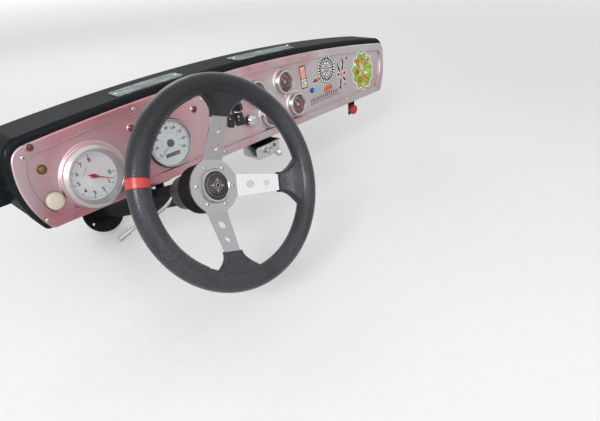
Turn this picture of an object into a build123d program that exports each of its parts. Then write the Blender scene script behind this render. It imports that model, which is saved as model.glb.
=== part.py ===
from build123d import *
import os
from math import sin, cos, tan, radians, degrees, sqrt

# Car dashboard with its steering column and steering wheel, in mm.
# Frame: +X to the car's right, +Y forward, +Z up.
# Origin: the middle of the cowl bolt line, on the dash pan's forward face.

os.makedirs("parts", exist_ok=True)

# Instruments that set the panel's height
BORDER = 17.5                   # width of the panel's raised border
LIP_R = 28.0                    # front ring of a small gauge
FOOT_CLEAR = 4.5                # between the border and the lower row of small gauges
ROW_GAP = 61.0                  # from the lower row up to the upper one
HEAD_ROOM = 61.5                # from the upper row up to the panel's top edge
ROW_LOW = BORDER + LIP_R + FOOT_CLEAR
ROW_HIGH = ROW_LOW + ROW_GAP
CROWN = ROW_HIGH + HEAD_ROOM    # height of the panel at the middle of the car

# Dash panel: how far its ends reach from the middle, and how its corners lie from them
PANEL_LEFT, PANEL_RIGHT = 540.0, 528.0
LEFT_FOOT, RIGHT_FOOT = 28.0, 32.0      # the foot corners lie this far inside the ends
LEFT_HEAD, RIGHT_BOW = 10.0, 7.0        # the top left corner, and the right end's middle
LEFT_FALL, RIGHT_FALL = 26.9, 40.0      # the top corners lie this far below the crown
LEFT_CORNER, RIGHT_CORNER, FOOT_CORNER = 30.0, 24.0, 10.0
INNER_CORNER = 8.0              # the recess's corners are this much tighter
TILT = 7.9                      # the panel's top leans forward by this many degrees
PANEL_Y, PANEL_Z = -118.0, -122.0       # the panel's bottom front edge
PANEL_T = 6.0                   # edge thickness of the panel
RECESS = 4.0                    # how deep the middle lies below the border
EDGE_R, FLOOR_EDGE_R = 2.2, 1.8         # roundings of the border's front and of the recess
TACH_HILL, SMALL_HILL = 9.0, 7.0        # width of the soft rise round an instrument
SMALL_RISE = 2.5                # height of the rise round a small gauge
RISE_SINK = 0.2                 # the rise's foot dips into the panel by this much

# Steel pan behind the panel
SHEET = 2.5
PAN_TOP, PAN_END, PAN_DROP = 13.0, 7.0, 3.0     # the pan stands this far beyond the panel
ROLL = 9.0                      # radius of the pan's rolled edge
FLANGE_LOW = -16.0              # lower edge of the cowl flange
BAY_LOW = -100.0                # the pan's forward side is open below this height
RETURN_Y = -73.0                # forward edge of the pan's bottom flange
BOLT_HOLE = 7.0
COWL_INNER, COWL_IN = 160.0, 48.0       # inner bolts from the middle, outer ones from the end
TAB_LONG, TAB_HIGH, TAB_GAP = 31.0, 100.0, 50.0         # side tabs, with two bolts each
TAB_BOLT = 13.0                 # the tab's bolts lie this far beyond the pan's end
LAP = 24.0                      # the tab laps onto the pan by this much
CUT = 400.0                     # longer than any piece it cuts through


def placed(from_left, up):
    """A place on the panel, measured from its left end and its bottom edge."""
    return (from_left - PANEL_LEFT, up)


# Places on the panel: from the left end, up from the bottom edge
TACH = placed(125.0, 59.5)
SPEEDO = placed(290.0, 69.0)
SMALL = [placed(539.0, ROW_HIGH - 2), placed(571.0, ROW_LOW)]
SMALL += [placed(635.0, ROW_HIGH + 2), placed(667.5, ROW_LOW + 1)]
RED_LAMPS = [placed(219.0, CROWN - 51.5), placed(365.0, CROWN - 54.5)]
AMBER_LAMP = placed(45.0, CROWN - 71.5)
CORNER_LAMP = placed(38.0, CROWN - 30.5)
STARTER = placed(46.0, 44.0)
PULL_KNOB = placed(507.0, 54.0)
LOCK = placed(456.0, 100.0)
LAMP_R, STARTER_R, KNOB_R, LOCK_R = 5.0, 12.0, 4.0, 10.0
BUTTON_R, LOCK_RING_R = 15.0, 14.0
CAN_GAP, STEM_GAP = 0.5, 0.2    # between a can or a stem and its hole in the panel

# can, foot and lip radius, the opening inside the lip, dial radius,
# then the levels of the foot, the lip and the dial, and the can's depth
TACH_SIZE = (48.0, 57.0, 51.5, 49.5, 44.0, 0.0, 8.0, -9.0, 66.0)
SPEEDO_SIZE = (44.0, 48.0, 47.5, 46.3, 44.2, -RECESS, 4.5, -2.5, 74.0)
SMALL_SIZE = (24.0, 29.0, LIP_R, LIP_R - 4, 21.0, SMALL_RISE - RECESS, 8.0, 0.0, 40.0)
DIAL_T, GLASS_T = 1.5, 1.6
TACH_NEEDLE, SPEEDO_NEEDLE, SMALL_NEEDLE = 2.6, 3.0, 2.4        # heights of the hubs
TACH_GLASS = 13.4               # the tachometer's glass lies this far above its dial
GASKET_WIDE, GASKET_T = 1.5, 2.5         # black ring round the speedometer's can
INSTRUMENTS = [(TACH, TACH_SIZE), (SPEEDO, SPEEDO_SIZE)] + [(spot, SMALL_SIZE) for spot in SMALL]
STEMS = [(spot, LAMP_R) for spot in RED_LAMPS + [AMBER_LAMP, CORNER_LAMP]]
STEMS += [(STARTER, STARTER_R), (PULL_KNOB, KNOB_R), (LOCK, LOCK_R)]

# Steering column
COLUMN_X = placed(228.0, 0)[0]
RAKE = 23.1                     # column above the horizontal
WHEEL_Y, WHEEL_Z = -366.3, -44.9        # middle of the rim
SHAFT_R, SHAFT_GAP = 9.5, 0.05
SHAFT_TOP = 70.0                # depths behind the rim's plane, from here on
BOSS_END, HOUSING_START, HOUSING_END = 108.0, 114.0, 164.0
TUBE_END, SHAFT_END = 590.0, 640.0
TUBE_R, TUBE_WALL = 21.0, 2.5
HOUSING_R, BUSH_LONG = 31.0, 16.0
STUB_R, STUB_LONG = 8.5, 46.0   # the shaft's free lower end, for a coupling
FLOOR_AT = TUBE_END - 30        # the floor plate lies this near the tube's end
FLOOR_R, FLOOR_PCD, FLOOR_HOLE = 50.0, 78.0, 6.5
CLAMP_AT = 306.0

# Steering wheel
TURN = 70.2                     # the wheel is turned this far to the left
RIM_R, GRIP_R = 158.4, 16.6
DISH = 53.5                     # from the rim's plane to the hub's front
PLATE = 4.0
HUB_R, BOSS_R, HORN_R, BUTTON_DOME = 46.0, 44.0, 29.0, 4.3
SPOKE_RISE = 27.2               # angle of the spokes to the hub
SPOKE_ROOT, SPOKE_TIP = 45.0, 22.0      # widths at the middle and at the rim
SPOKE_HOLES = [(19.0, 14.5), (44.0, 10.5)]      # beyond the hub's edge, and diameter
BAND_WIDE = 14.0

panel = Plane(origin=(0, PANEL_Y, PANEL_Z), x_dir=(1, 0, 0),
              z_dir=(0, -cos(radians(TILT)), sin(radians(TILT))))
wheel = Plane(origin=(COLUMN_X, WHEEL_Y, WHEEL_Z), x_dir=(1, 0, 0),
              z_dir=(0, -cos(radians(RAKE)), sin(radians(RAKE))))
SPOKES = [TURN - 90, TURN, TURN + 180]
FORWARD = (0, 1, 0)
# the plane that holds the column's axis: its local y points to the driver
column_cut = Plane(origin=wheel.origin, x_dir=(1, 0, 0), z_dir=-wheel.y_dir)
column_axis = Axis(wheel.origin, wheel.z_dir)


def at(x, s, out=0.0):
    """A plane on the panel, x along it and s up it."""
    return Plane(origin=panel.from_local_coords((x, s, out)), x_dir=panel.x_dir, z_dir=panel.z_dir)


def through(x, s):
    """The plane that holds an instrument's axis: its local y points to the driver."""
    return Plane(origin=panel.from_local_coords((x, s, 0)), x_dir=(1, 0, 0), z_dir=-panel.y_dir)


def beside(x, s=0.0, out=0.0):
    """A plane across the panel's length: its local x points to the driver, its y up the panel."""
    return Plane(origin=panel.from_local_coords((x, s, out)), x_dir=panel.z_dir, z_dir=-panel.x_dir)


def axis_of(plane):
    return Axis(plane.origin, plane.y_dir)


def column(depth, spin=0.0):
    """A plane across the column, so far behind the rim, facing the driver."""
    along = wheel.x_dir * cos(radians(spin)) + wheel.y_dir * sin(radians(spin))
    return Plane(origin=wheel.from_local_coords((0, 0, -depth)), x_dir=along, z_dir=wheel.z_dir)


def facing(part, plane):
    """The part's flat faces that look the plane's way."""
    return part.faces().filter_by(lambda face: face.normal_at().dot(plane.z_dir) > 0.999)


def turn_on_panel(spots, profile):
    """Turns a profile round an axis square to the panel, at each spot."""
    for x, s in spots:
        cut = through(x, s)
        with BuildSketch(cut) as section:
            Polygon(*profile, align=None)
        revolve(section.sketch, axis=axis_of(cut))


def turn_on_column(profile):
    """Turns a profile round the column: radius, then height towards the driver."""
    with BuildSketch(column_cut) as section:
        Polygon(*profile, align=None)
    revolve(section.sketch, axis=column_axis)


def outline(top=0.0, end=0.0, drop=0.0, corner=0.0, foot=FOOT_CORNER):
    """The panel's outline, grown at its top, ends and bottom."""
    left, right = -PANEL_LEFT - end, PANEL_RIGHT + end
    left_h, right_h = CROWN - LEFT_FALL, CROWN - RIGHT_FALL
    head_left, head_right = (left + LEFT_HEAD, left_h + top), (right, right_h + top)
    foot_left, foot_right = (left + LEFT_FOOT, -drop), (right - RIGHT_FOOT, -drop)
    with BuildSketch() as shape:
        with BuildLine():
            Line(foot_left, foot_right)
            ThreePointArc(foot_right, (right - RIGHT_BOW, 0.44 * right_h), head_right)
            ThreePointArc(head_right, (0, CROWN + top), head_left)
            ThreePointArc(head_left, (left, 0.55 * left_h), foot_left)
        make_face()
        fillet(shape.vertices().group_by(Axis.Y)[0], foot)
        fillet(shape.vertices().sort_by_distance(head_left)[0], LEFT_CORNER + corner)
        fillet(shape.vertices().sort_by_distance(head_right)[0], RIGHT_CORNER + corner)
    return shape.sketch


def pan_outline(inset=0.0, taller=0.0):
    grown = PAN_END - inset
    return outline(PAN_TOP - inset + taller, grown, PAN_DROP - inset, grown)


def pan_block(inset, far):
    """The pan's space, shrunk by inset all round and ending at y = far."""
    with BuildPart() as block:
        with BuildSketch(at(0, 0, -PANEL_T - inset)):
            add(pan_outline(inset))
        extrude(amount=CUT, dir=FORWARD)
        fillet(facing(block, panel).sort_by(Axis.Y)[0].edges(), ROLL - inset)
        with BuildSketch(Plane.XZ.offset(-far)):
            Rectangle(4 * CUT, 4 * CUT)
        extrude(amount=-2 * CUT, mode=Mode.SUBTRACT)
    return block.part


# Steel pan: a front wall behind the panel, a shelf on top, two ends and a bottom flange
PAN_ENDS = [(-1, PANEL_LEFT + PAN_END), (1, PANEL_RIGHT + PAN_END)]
pan_outside, pan_inside = pan_block(0, 0), pan_block(SHEET, 1)
with BuildPart() as dash_shell:
    add(pan_outside)
    add(pan_inside, mode=Mode.SUBTRACT)
    with BuildSketch(Plane.XY.offset(BAY_LOW)):
        with Locations((0, RETURN_Y)):
            Rectangle(4 * CUT, CUT, align=(Align.CENTER, Align.MIN))
    extrude(amount=-CUT, mode=Mode.SUBTRACT)
    for side, reach in PAN_ENDS:
        with BuildSketch(Plane.XZ) as tab:
            with Locations((side * (reach + (TAB_LONG - LAP) / 2), -TAB_HIGH / 2)):
                Rectangle(TAB_LONG + LAP, TAB_HIGH)
            fillet(tab.vertices().group_by(Axis.X)[-1 if side > 0 else 0], 10)
        extrude(amount=SHEET)
    with BuildSketch(Plane.XZ):
        for side, reach in PAN_ENDS:
            with Locations((side * (reach + TAB_BOLT), -TAB_HIGH / 2)):
                with GridLocations(1, TAB_GAP, 1, 2):
                    Circle(BOLT_HOLE / 2)
    extrude(amount=2 * SHEET, both=True, mode=Mode.SUBTRACT)
    for spot, r in [(spot, size[0]) for spot, size in INSTRUMENTS] + STEMS:
        with BuildSketch(at(*spot, -PANEL_T)):
            Circle(r + 1)
        extrude(amount=-2 * SHEET, mode=Mode.SUBTRACT)
dash_shell.part.label = "dash_shell"
export_step(dash_shell.part, "parts/dash_shell.step")

# Cowl flange: a flat bar that closes the pan under the shelf's forward edge
with BuildPart() as cowl_flange:
    add(pan_block(SHEET, 0))
    with BuildSketch(Plane.XY.offset(FLANGE_LOW)):
        Rectangle(4 * CUT, 4 * CUT)
    extrude(amount=-CUT, mode=Mode.SUBTRACT)
    with BuildSketch(Plane.XZ.offset(SHEET)):
        Rectangle(4 * CUT, 4 * CUT)
    extrude(amount=CUT, mode=Mode.SUBTRACT)
    with BuildSketch(Plane.XZ):
        with Locations([(side * x, 0) for side in (-1, 1) for x in (COWL_INNER, PANEL_RIGHT - COWL_IN)]):
            Circle(BOLT_HOLE / 2)
    extrude(amount=2 * SHEET, both=True, mode=Mode.SUBTRACT)
    add(dash_shell.part, mode=Mode.SUBTRACT)
cowl_flange.part.label = "cowl_flange"
export_step(cowl_flange.part, "parts/cowl_flange.step")

# Soft rises of the panel's middle round the instruments, each an S from its foot to its top
RISES = [(TACH, TACH_SIZE[1], TACH_HILL, 0.0)]
RISES += [(spot, SMALL_SIZE[1] + 1, SMALL_HILL, SMALL_SIZE[5]) for spot in SMALL]
with BuildPart() as hills:
    for spot, r, wide, top in RISES:
        cut = through(*spot)
        low = -RECESS - RISE_SINK
        with BuildSketch(cut):
            with BuildLine():
                rise = TangentArc((r + wide, low), (r + wide / 2, (top + low) / 2), tangent=(-1, 0))
                TangentArc(rise @ 1, (r, top), tangent=rise % 1)
                Polyline((r, top), (0, top), (0, low - 1), (r + wide, low - 1), (r + wide, low))
            make_face()
        revolve(axis=axis_of(cut))
    with BuildSketch(at(0, 0, -PANEL_T)):
        add(outline(1 - BORDER, 1 - BORDER, 1 - BORDER, -INNER_CORNER))
    extrude(amount=2 * PANEL_T, mode=Mode.INTERSECT)

# Aluminium panel: a raised border round a recessed middle
with BuildPart() as fascia:
    with BuildSketch(at(0, 0, -PANEL_T)):
        add(outline())
    extrude(amount=PANEL_T)
    fillet(facing(fascia, panel).edges(), EDGE_R)
    with BuildSketch(panel):
        add(outline(-BORDER, -BORDER, -BORDER, -INNER_CORNER))
    extrude(amount=-RECESS, mode=Mode.SUBTRACT)
    fillet(facing(fascia, panel).sort_by(Axis(panel.origin, panel.z_dir))[0].edges(), FLOOR_EDGE_R)
    add(hills.part)
    with BuildSketch(at(0, 0, -PANEL_T)):
        for spot, size in INSTRUMENTS:
            with Locations(spot):
                Circle(size[0] + CAN_GAP)
        for spot, r in STEMS:
            with Locations(spot):
                Circle(r + STEM_GAP)
    extrude(amount=2 * PANEL_T, mode=Mode.SUBTRACT)
fascia.part.label = "fascia"
export_step(fascia.part, "parts/fascia.step")


def wall(size, level):
    """The inner cone's radius at a level, from the dial out to the lip's opening."""
    opening, dial_r, lip, low = size[3], size[4], size[6], size[7]
    return dial_r + (opening - dial_r) * (level - low) / (lip - low)


def housing(size):
    """A can behind the panel with a cup-shaped bezel in front of it."""
    can, foot, lip_r, opening, dial_r, foot_at, lip, low, deep = size
    behind = [(0, low - DIAL_T), (0, -deep), (can, -deep), (can, foot_at)]
    bezel = [(foot, foot_at), (foot, foot_at + 1.2), (lip_r, lip - 1), (lip_r - 0.8, lip), (opening, lip)]
    return behind + bezel + [(dial_r, low), (dial_r, low - DIAL_T)]


def dial(size):
    dial_r, low = size[4], size[7]
    return [(0, low - DIAL_T), (dial_r, low - DIAL_T), (dial_r, low), (0, low)]


def glass(size, above):
    lower = size[7] + above
    upper = lower + GLASS_T
    return [(0, lower), (wall(size, lower), lower), (wall(size, upper), upper), (0, upper)]


with BuildPart() as tach_housing:
    turn_on_panel([TACH], housing(TACH_SIZE))
tach_housing.part.label = "tach_housing"
export_step(tach_housing.part, "parts/tach_housing.step")

with BuildPart() as tach_dial:
    turn_on_panel([TACH], dial(TACH_SIZE))
tach_dial.part.label = "tach_dial"
export_step(tach_dial.part, "parts/tach_dial.step")

with BuildPart() as tach_glass:
    turn_on_panel([TACH], glass(TACH_SIZE, TACH_GLASS))
tach_glass.part.label = "tach_glass"
export_step(tach_glass.part, "parts/tach_glass.step")

with BuildPart() as speedometer_housing:
    turn_on_panel([SPEEDO], housing(SPEEDO_SIZE))
speedometer_housing.part.label = "speedometer_housing"
export_step(speedometer_housing.part, "parts/speedometer_housing.step")

with BuildPart() as speedometer_gasket:
    inner = SPEEDO_SIZE[1] + 0.1
    outer = inner + GASKET_WIDE
    turn_on_panel([SPEEDO], [(inner, -RECESS), (outer, -RECESS), (outer, GASKET_T - RECESS - 0.6),
                             (outer - 0.6, GASKET_T - RECESS), (inner, GASKET_T - RECESS)])
speedometer_gasket.part.label = "speedometer_gasket"
export_step(speedometer_gasket.part, "parts/speedometer_gasket.step")

with BuildPart() as speedometer_dial:
    turn_on_panel([SPEEDO], dial(SPEEDO_SIZE))
speedometer_dial.part.label = "speedometer_dial"
export_step(speedometer_dial.part, "parts/speedometer_dial.step")

with BuildPart() as speedometer_glass:
    turn_on_panel([SPEEDO], glass(SPEEDO_SIZE, SPEEDO_NEEDLE + 0.5))
speedometer_glass.part.label = "speedometer_glass"
export_step(speedometer_glass.part, "parts/speedometer_glass.step")

with BuildPart() as small_gauge_housings:
    turn_on_panel(SMALL, housing(SMALL_SIZE))
small_gauge_housings.part.label = "small_gauge_housings"
export_step(small_gauge_housings.part, "parts/small_gauge_housings.step")

with BuildPart() as small_gauge_dials:
    turn_on_panel(SMALL, dial(SMALL_SIZE))
small_gauge_dials.part.label = "small_gauge_dials"
export_step(small_gauge_dials.part, "parts/small_gauge_dials.step")

with BuildPart() as small_gauge_glasses:
    turn_on_panel(SMALL, glass(SMALL_SIZE, SMALL_NEEDLE + 0.3))
small_gauge_glasses.part.label = "small_gauge_glasses"
export_step(small_gauge_glasses.part, "parts/small_gauge_glasses.step")


def point_at(spots, low, angle, shape, hub, height):
    """A pointer over each dial; angle 0 is 3 o'clock, counted to the left."""
    for spot in spots:
        with BuildSketch(at(*spot, low + height / 2)) as arm:
            with Locations(Location((0, 0, 0), (0, 0, angle))):
                Polygon(*shape, align=None)
        extrude(arm.sketch, amount=0.8)
        with BuildSketch(at(*spot, low)) as boss:
            Circle(hub)
        extrude(boss.sketch, amount=height)


with BuildPart() as tach_needle:
    diamond = [(-11, 0), (0, -4.2), (10, -1), (37, -0.5), (37, 0.5), (10, 1), (0, 4.2)]
    point_at([TACH], TACH_SIZE[7], -27, diamond, 3, TACH_NEEDLE)
tach_needle.part.label = "tach_needle"
export_step(tach_needle.part, "parts/tach_needle.step")

with BuildPart() as speedometer_needle:
    point_at([SPEEDO], SPEEDO_SIZE[7], 218, [(0, -1.8), (36, -0.6), (36, 0.6), (0, 1.8)], 7.5, SPEEDO_NEEDLE)
    fillet(facing(speedometer_needle, panel).sort_by(Axis(panel.origin, panel.z_dir))[-1].edges(), 0.6)
speedometer_needle.part.label = "speedometer_needle"
export_step(speedometer_needle.part, "parts/speedometer_needle.step")

with BuildPart() as small_gauge_needles:
    point_at(SMALL, SMALL_SIZE[7], 130, [(-4, -1), (16, -0.5), (16, 0.5), (-4, 1)], 3, SMALL_NEEDLE)
small_gauge_needles.part.label = "small_gauge_needles"
export_step(small_gauge_needles.part, "parts/small_gauge_needles.step")

# Lamps, button, knob and lock: turned pieces through the panel and the pan's front wall
BACK = -PANEL_T - SHEET - 14


def lamp(stem, flange, high, low):
    """A domed lens with a stem: three straight facets to its top."""
    return [(0, BACK), (stem, BACK), (stem, low), (flange, low), (flange, low + high * 0.4),
            (flange * 0.72, low + high * 0.8), (flange * 0.35, low + high), (0, low + high)]


with BuildPart() as red_lamps:
    turn_on_panel(RED_LAMPS, lamp(LAMP_R, 7, 5, -RECESS))
red_lamps.part.label = "red_lamps"
export_step(red_lamps.part, "parts/red_lamps.step")

with BuildPart() as amber_lamp:
    turn_on_panel([AMBER_LAMP], lamp(LAMP_R, 6, 4, -RECESS))
amber_lamp.part.label = "amber_lamp"
export_step(amber_lamp.part, "parts/amber_lamp.step")

with BuildPart() as corner_lamp:
    turn_on_panel([CORNER_LAMP], lamp(LAMP_R, 5.5, 6, 0))
corner_lamp.part.label = "corner_lamp"
export_step(corner_lamp.part, "parts/corner_lamp.step")

with BuildPart() as starter_button:
    turn_on_panel([STARTER], [(0, BACK - 10), (STARTER_R, BACK - 10), (STARTER_R, -RECESS),
                              (BUTTON_R, -RECESS), (BUTTON_R, 1), (BUTTON_R - 1.2, 2.4),
                              (BUTTON_R - 5, 3.6), (0, 4.2)])
starter_button.part.label = "starter_button"
export_step(starter_button.part, "parts/starter_button.step")

with BuildPart() as pull_knob:
    turn_on_panel([PULL_KNOB], [(0, BACK), (KNOB_R, BACK), (KNOB_R, 0.5), (10, 1.5), (12.5, 4), (12.5, 6),
                                (10, 9), (5, 10.5), (0, 10.8)])
pull_knob.part.label = "pull_knob"
export_step(pull_knob.part, "parts/pull_knob.step")

with BuildPart() as ignition_lock:
    turn_on_panel([LOCK], [(0, BACK - 20), (LOCK_R, BACK - 20), (LOCK_R, -RECESS), (LOCK_RING_R, -RECESS),
                           (LOCK_RING_R, -1), (LOCK_RING_R - 1.5, 1), (9, 1), (8.5, 0.5), (0, 0.5)])
ignition_lock.part.label = "ignition_lock"
export_step(ignition_lock.part, "parts/ignition_lock.step")

# Key in the lock, and a ring with two fobs through the key's head
KEY_T, KEY_FROM, KEY_LONG, KEY_HIGH = 7.0, 12.5, 25.0, 19.0
RING_R, RING_WIRE, RING_TILT = 10.5, 1.0, 20.0
RING_OUT, RING_DROP = 20.0, 8.0         # the ring's middle from the panel, and below the lock
KEY_EYE = 2.2                   # radius of the hole in the key's head
ring_front = RING_R * sin(radians(RING_TILT)) - RING_DROP
with BuildPart() as ignition_key:
    with BuildSketch(at(*LOCK, 0.5)):
        Rectangle(2.4, 8)
    extrude(amount=6)
    with BuildSketch(at(*LOCK, 6.5)):
        Rectangle(8, 12)
    extrude(amount=KEY_FROM - 6.5)
    with BuildSketch(beside(*LOCK)):
        with Locations((KEY_FROM + KEY_LONG / 2, 0)):
            RectangleRounded(KEY_LONG, KEY_HIGH, 7)
        with Locations((RING_OUT + RING_R * cos(radians(RING_TILT)), ring_front + KEY_EYE - RING_WIRE - 0.2)):
            Circle(KEY_EYE, mode=Mode.SUBTRACT)
    extrude(amount=KEY_T / 2, both=True)
ignition_key.part.label = "ignition_key"
export_step(ignition_key.part, "parts/ignition_key.step")

# a fob's lug from the key, its body's middle from the lug, lean, length, widths at the top and at
# the bottom, thickness
FOBS = [(10.3, -6.5, 3.0, 29.0, 18.0, 23.0, 9.0), (-10.3, -5.0, -14.0, 28.0, 13.0, 17.0, 7.0)]
FOB_TURN, FOB_DROP, FOB_CORNER = 45.0, 6.0, 5.0         # turned to the door; the body's top below the lug
LUG_W, LUG_H, LUG_T = 5.0, 14.0, 4.0
with BuildPart() as key_fob:
    ring_at = Plane(origin=panel.from_local_coords((LOCK[0], LOCK[1] - RING_DROP, RING_OUT)), x_dir=(1, 0, 0),
                    z_dir=panel.y_dir * cos(radians(RING_TILT)) - panel.z_dir * sin(radians(RING_TILT)))
    for x, aside, lean, long, head, foot, thick in FOBS:
        lug = Plane(origin=panel.from_local_coords((LOCK[0] + x, LOCK[1] - RING_DROP, RING_OUT)),
                    x_dir=panel.x_dir * cos(radians(FOB_TURN)) + panel.z_dir * sin(radians(FOB_TURN)),
                    z_dir=panel.z_dir * cos(radians(FOB_TURN)) - panel.x_dir * sin(radians(FOB_TURN)))
        with BuildSketch(lug) as plate:
            with Locations(Location((aside, -FOB_DROP, 0), (0, 0, lean))):
                Polygon((-head / 2, 0), (head / 2, 0), (foot / 2, -long), (-foot / 2, -long), align=None)
            fillet(plate.vertices(), FOB_CORNER)
        extrude(amount=thick / 2, both=True)
        with BuildSketch(lug):
            Rectangle(LUG_W, LUG_H)
        extrude(amount=LUG_T / 2, both=True)
    with Locations(ring_at):
        Torus(RING_R, RING_WIRE)
key_fob.part.label = "key_fob"
export_step(key_fob.part, "parts/key_fob.step")

# Steering shaft, its tube and the turn signal housing
with BuildPart() as steering_shaft:
    stub = SHAFT_END - STUB_LONG
    turn_on_column([(0, -SHAFT_TOP), (SHAFT_R, -SHAFT_TOP), (SHAFT_R, -stub), (STUB_R, -stub),
                    (STUB_R, 1 - SHAFT_END), (STUB_R - 1, -SHAFT_END), (0, -SHAFT_END)])
steering_shaft.part.label = "steering_shaft"
export_step(steering_shaft.part, "parts/steering_shaft.step")

bush_in, tube_in = SHAFT_R + SHAFT_GAP, TUBE_R - TUBE_WALL
tube_start = HOUSING_START + BUSH_LONG
with BuildPart() as column_tube:
    turn_on_column([(tube_in, -tube_start), (TUBE_R, -tube_start), (TUBE_R, -TUBE_END), (tube_in, -TUBE_END)])
column_tube.part.label = "column_tube"
export_step(column_tube.part, "parts/column_tube.step")

with BuildPart() as column_bushes:
    for near, far in ((HOUSING_START + 2, tube_start), (TUBE_END - BUSH_LONG, TUBE_END)):
        turn_on_column([(bush_in, -near), (tube_in, -near), (tube_in, -far), (bush_in, -far)])
column_bushes.part.label = "column_bushes"
export_step(column_bushes.part, "parts/column_bushes.step")

with BuildPart() as turn_signal_housing:
    turn_on_column([(tube_in, -HOUSING_START), (HOUSING_R - 3, -HOUSING_START),
                    (HOUSING_R, -HOUSING_START - 3), (HOUSING_R, 12 - HOUSING_END),
                    (HOUSING_R - 5, -HOUSING_END), (TUBE_R, -HOUSING_END), (TUBE_R, -tube_start),
                    (tube_in, -tube_start)])
turn_signal_housing.part.label = "turn_signal_housing"
export_step(turn_signal_housing.part, "parts/turn_signal_housing.step")

with BuildPart() as floor_plate:
    with BuildSketch(column(FLOOR_AT)):
        Circle(FLOOR_R)
        Circle(TUBE_R, mode=Mode.SUBTRACT)
        with PolarLocations(FLOOR_PCD / 2, 3, start_angle=90):
            Circle(FLOOR_HOLE / 2, mode=Mode.SUBTRACT)
    extrude(amount=-5)
    with BuildSketch(column(FLOOR_AT)):
        Circle(TUBE_R + 5)
        Circle(TUBE_R, mode=Mode.SUBTRACT)
    extrude(amount=18)
floor_plate.part.label = "floor_plate"
export_step(floor_plate.part, "parts/floor_plate.step")

# Turn signal arm: a bent rod from the housing's left side with a thicker grip;
# its points lie to the left of the column, above the rim's middle and before it
ARM = [(29, -58.6, 142.3), (64, -75.1, 142.3), (108, -80.1, 141.3), (122, -82.6, 140.8)]
ARM_R, ARM_GRIP_R, ARM_GRIP = 3.2, 5.0, 22.0
with BuildPart() as turn_signal_arm:
    with BuildLine() as bend:
        Spline(*[(COLUMN_X - left, WHEEL_Y + on, WHEEL_Z + up) for left, up, on in ARM])
    with BuildSketch(Plane(origin=bend.line @ 0, z_dir=bend.line % 0)):
        Circle(ARM_R)
    sweep()
    with BuildSketch(Plane(origin=bend.line @ 1, z_dir=bend.line % 1)):
        Circle(ARM_GRIP_R)
    extrude(amount=ARM_GRIP)
    add(turn_signal_housing.part, mode=Mode.SUBTRACT)
turn_signal_arm.part.label = "turn_signal_arm"
export_step(turn_signal_arm.part, "parts/turn_signal_arm.step")

# Clamp that hangs the tube from the pan's bottom flange
pan_under = panel.from_local_coords((0, -PAN_DROP, -PANEL_T)).Z
FOOT_Y, FOOT_LONG, FOOT_WIDE, CHEEK = PANEL_Y + 27, 26.0, 96.0, 48.0
with BuildPart() as column_bracket:
    with BuildSketch(Plane.XY.offset(pan_under)):
        with Locations((COLUMN_X, FOOT_Y)):
            Rectangle(FOOT_WIDE, FOOT_LONG)
    extrude(amount=-4)
    for side in (-1, 1):
        with BuildSketch(Plane.YZ.offset(COLUMN_X + side * (TUBE_R + 6))):
            with Locations((FOOT_Y, pan_under - CHEEK / 2)):
                Rectangle(FOOT_LONG, CHEEK)
        extrude(amount=3, both=True)
    with BuildSketch(column(CLAMP_AT)):
        Circle(TUBE_R + 4)
        Rectangle(2 * TUBE_R + 18, 14)
    extrude(amount=11, both=True)
    with BuildSketch(column(CLAMP_AT)):
        Circle(TUBE_R)
    extrude(amount=80, both=True, mode=Mode.SUBTRACT)
column_bracket.part.label = "column_bracket"
export_step(column_bracket.part, "parts/column_bracket.step")

# Chrome switch box under the panel, its two knobs and its lamp
BOX_X, BOX_W, BOX_H, BOX_DEEP = placed(537.5, 0)[0], 76.0, 33.0, 48.0
BOX_OUT, BOX_DROP, BOX_CORNER = 10.0, 4.5, 11.0        # before the panel, and below the pan
POST_IN = 35.0                  # the box's two posts stand this far behind the panel's front
box_front, box_top = PANEL_Y - BOX_OUT, pan_under - BOX_DROP
STAR_IN, BALL_IN, LAMP_IN = 40.0, 19.5, 17.5     # from the box's right end
STAR_DROP, BALL_DROP, LAMP_DROP = 17.5, 25.0, 10.0      # from the box's top
front = Plane.XZ.offset(-box_front)
with BuildPart() as switch_box:
    with BuildSketch(front) as face:
        with Locations((BOX_X, box_top - BOX_H / 2)):
            Rectangle(BOX_W, BOX_H)
        fillet(face.vertices().group_by(Axis.Y)[0], BOX_CORNER)
    extrude(amount=-BOX_DEEP)
    fillet(facing(switch_box, front).edges(), 1.5)
    with BuildSketch(Plane.XY.offset(pan_under)):
        with GridLocations(0.62 * BOX_W, 1, 2, 1):
            with Locations((BOX_X, PANEL_Y + POST_IN)):
                Rectangle(14, 12)
    extrude(amount=-BOX_DROP - 2)
    with BuildSketch(front.offset(3)):
        with Locations((BOX_X, box_top - 1)):
            Rectangle(BOX_W + 3, 3)
    extrude(amount=-16)
switch_box.part.label = "switch_box"
export_step(switch_box.part, "parts/switch_box.step")

star_at = (BOX_X + BOX_W / 2 - STAR_IN, box_top - STAR_DROP)
with BuildPart() as star_knob:
    with BuildSketch(front):
        with Locations(star_at):
            Circle(4)
    extrude(amount=6)
    with BuildSketch(front.offset(6)):
        with Locations(star_at):
            Circle(5.5)
            with PolarLocations(5.5, 6):
                Circle(2.4)
    extrude(amount=8)
star_knob.part.label = "star_knob"
export_step(star_knob.part, "parts/star_knob.step")

ball_at = (BOX_X + BOX_W / 2 - BALL_IN, box_top - BALL_DROP)
with BuildPart() as ball_knob:
    with BuildSketch(front):
        with Locations(ball_at):
            Circle(3)
    extrude(amount=8)
    with Locations((ball_at[0], box_front - 15, ball_at[1])):
        Sphere(9.5)
ball_knob.part.label = "ball_knob"
export_step(ball_knob.part, "parts/ball_knob.step")

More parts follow.
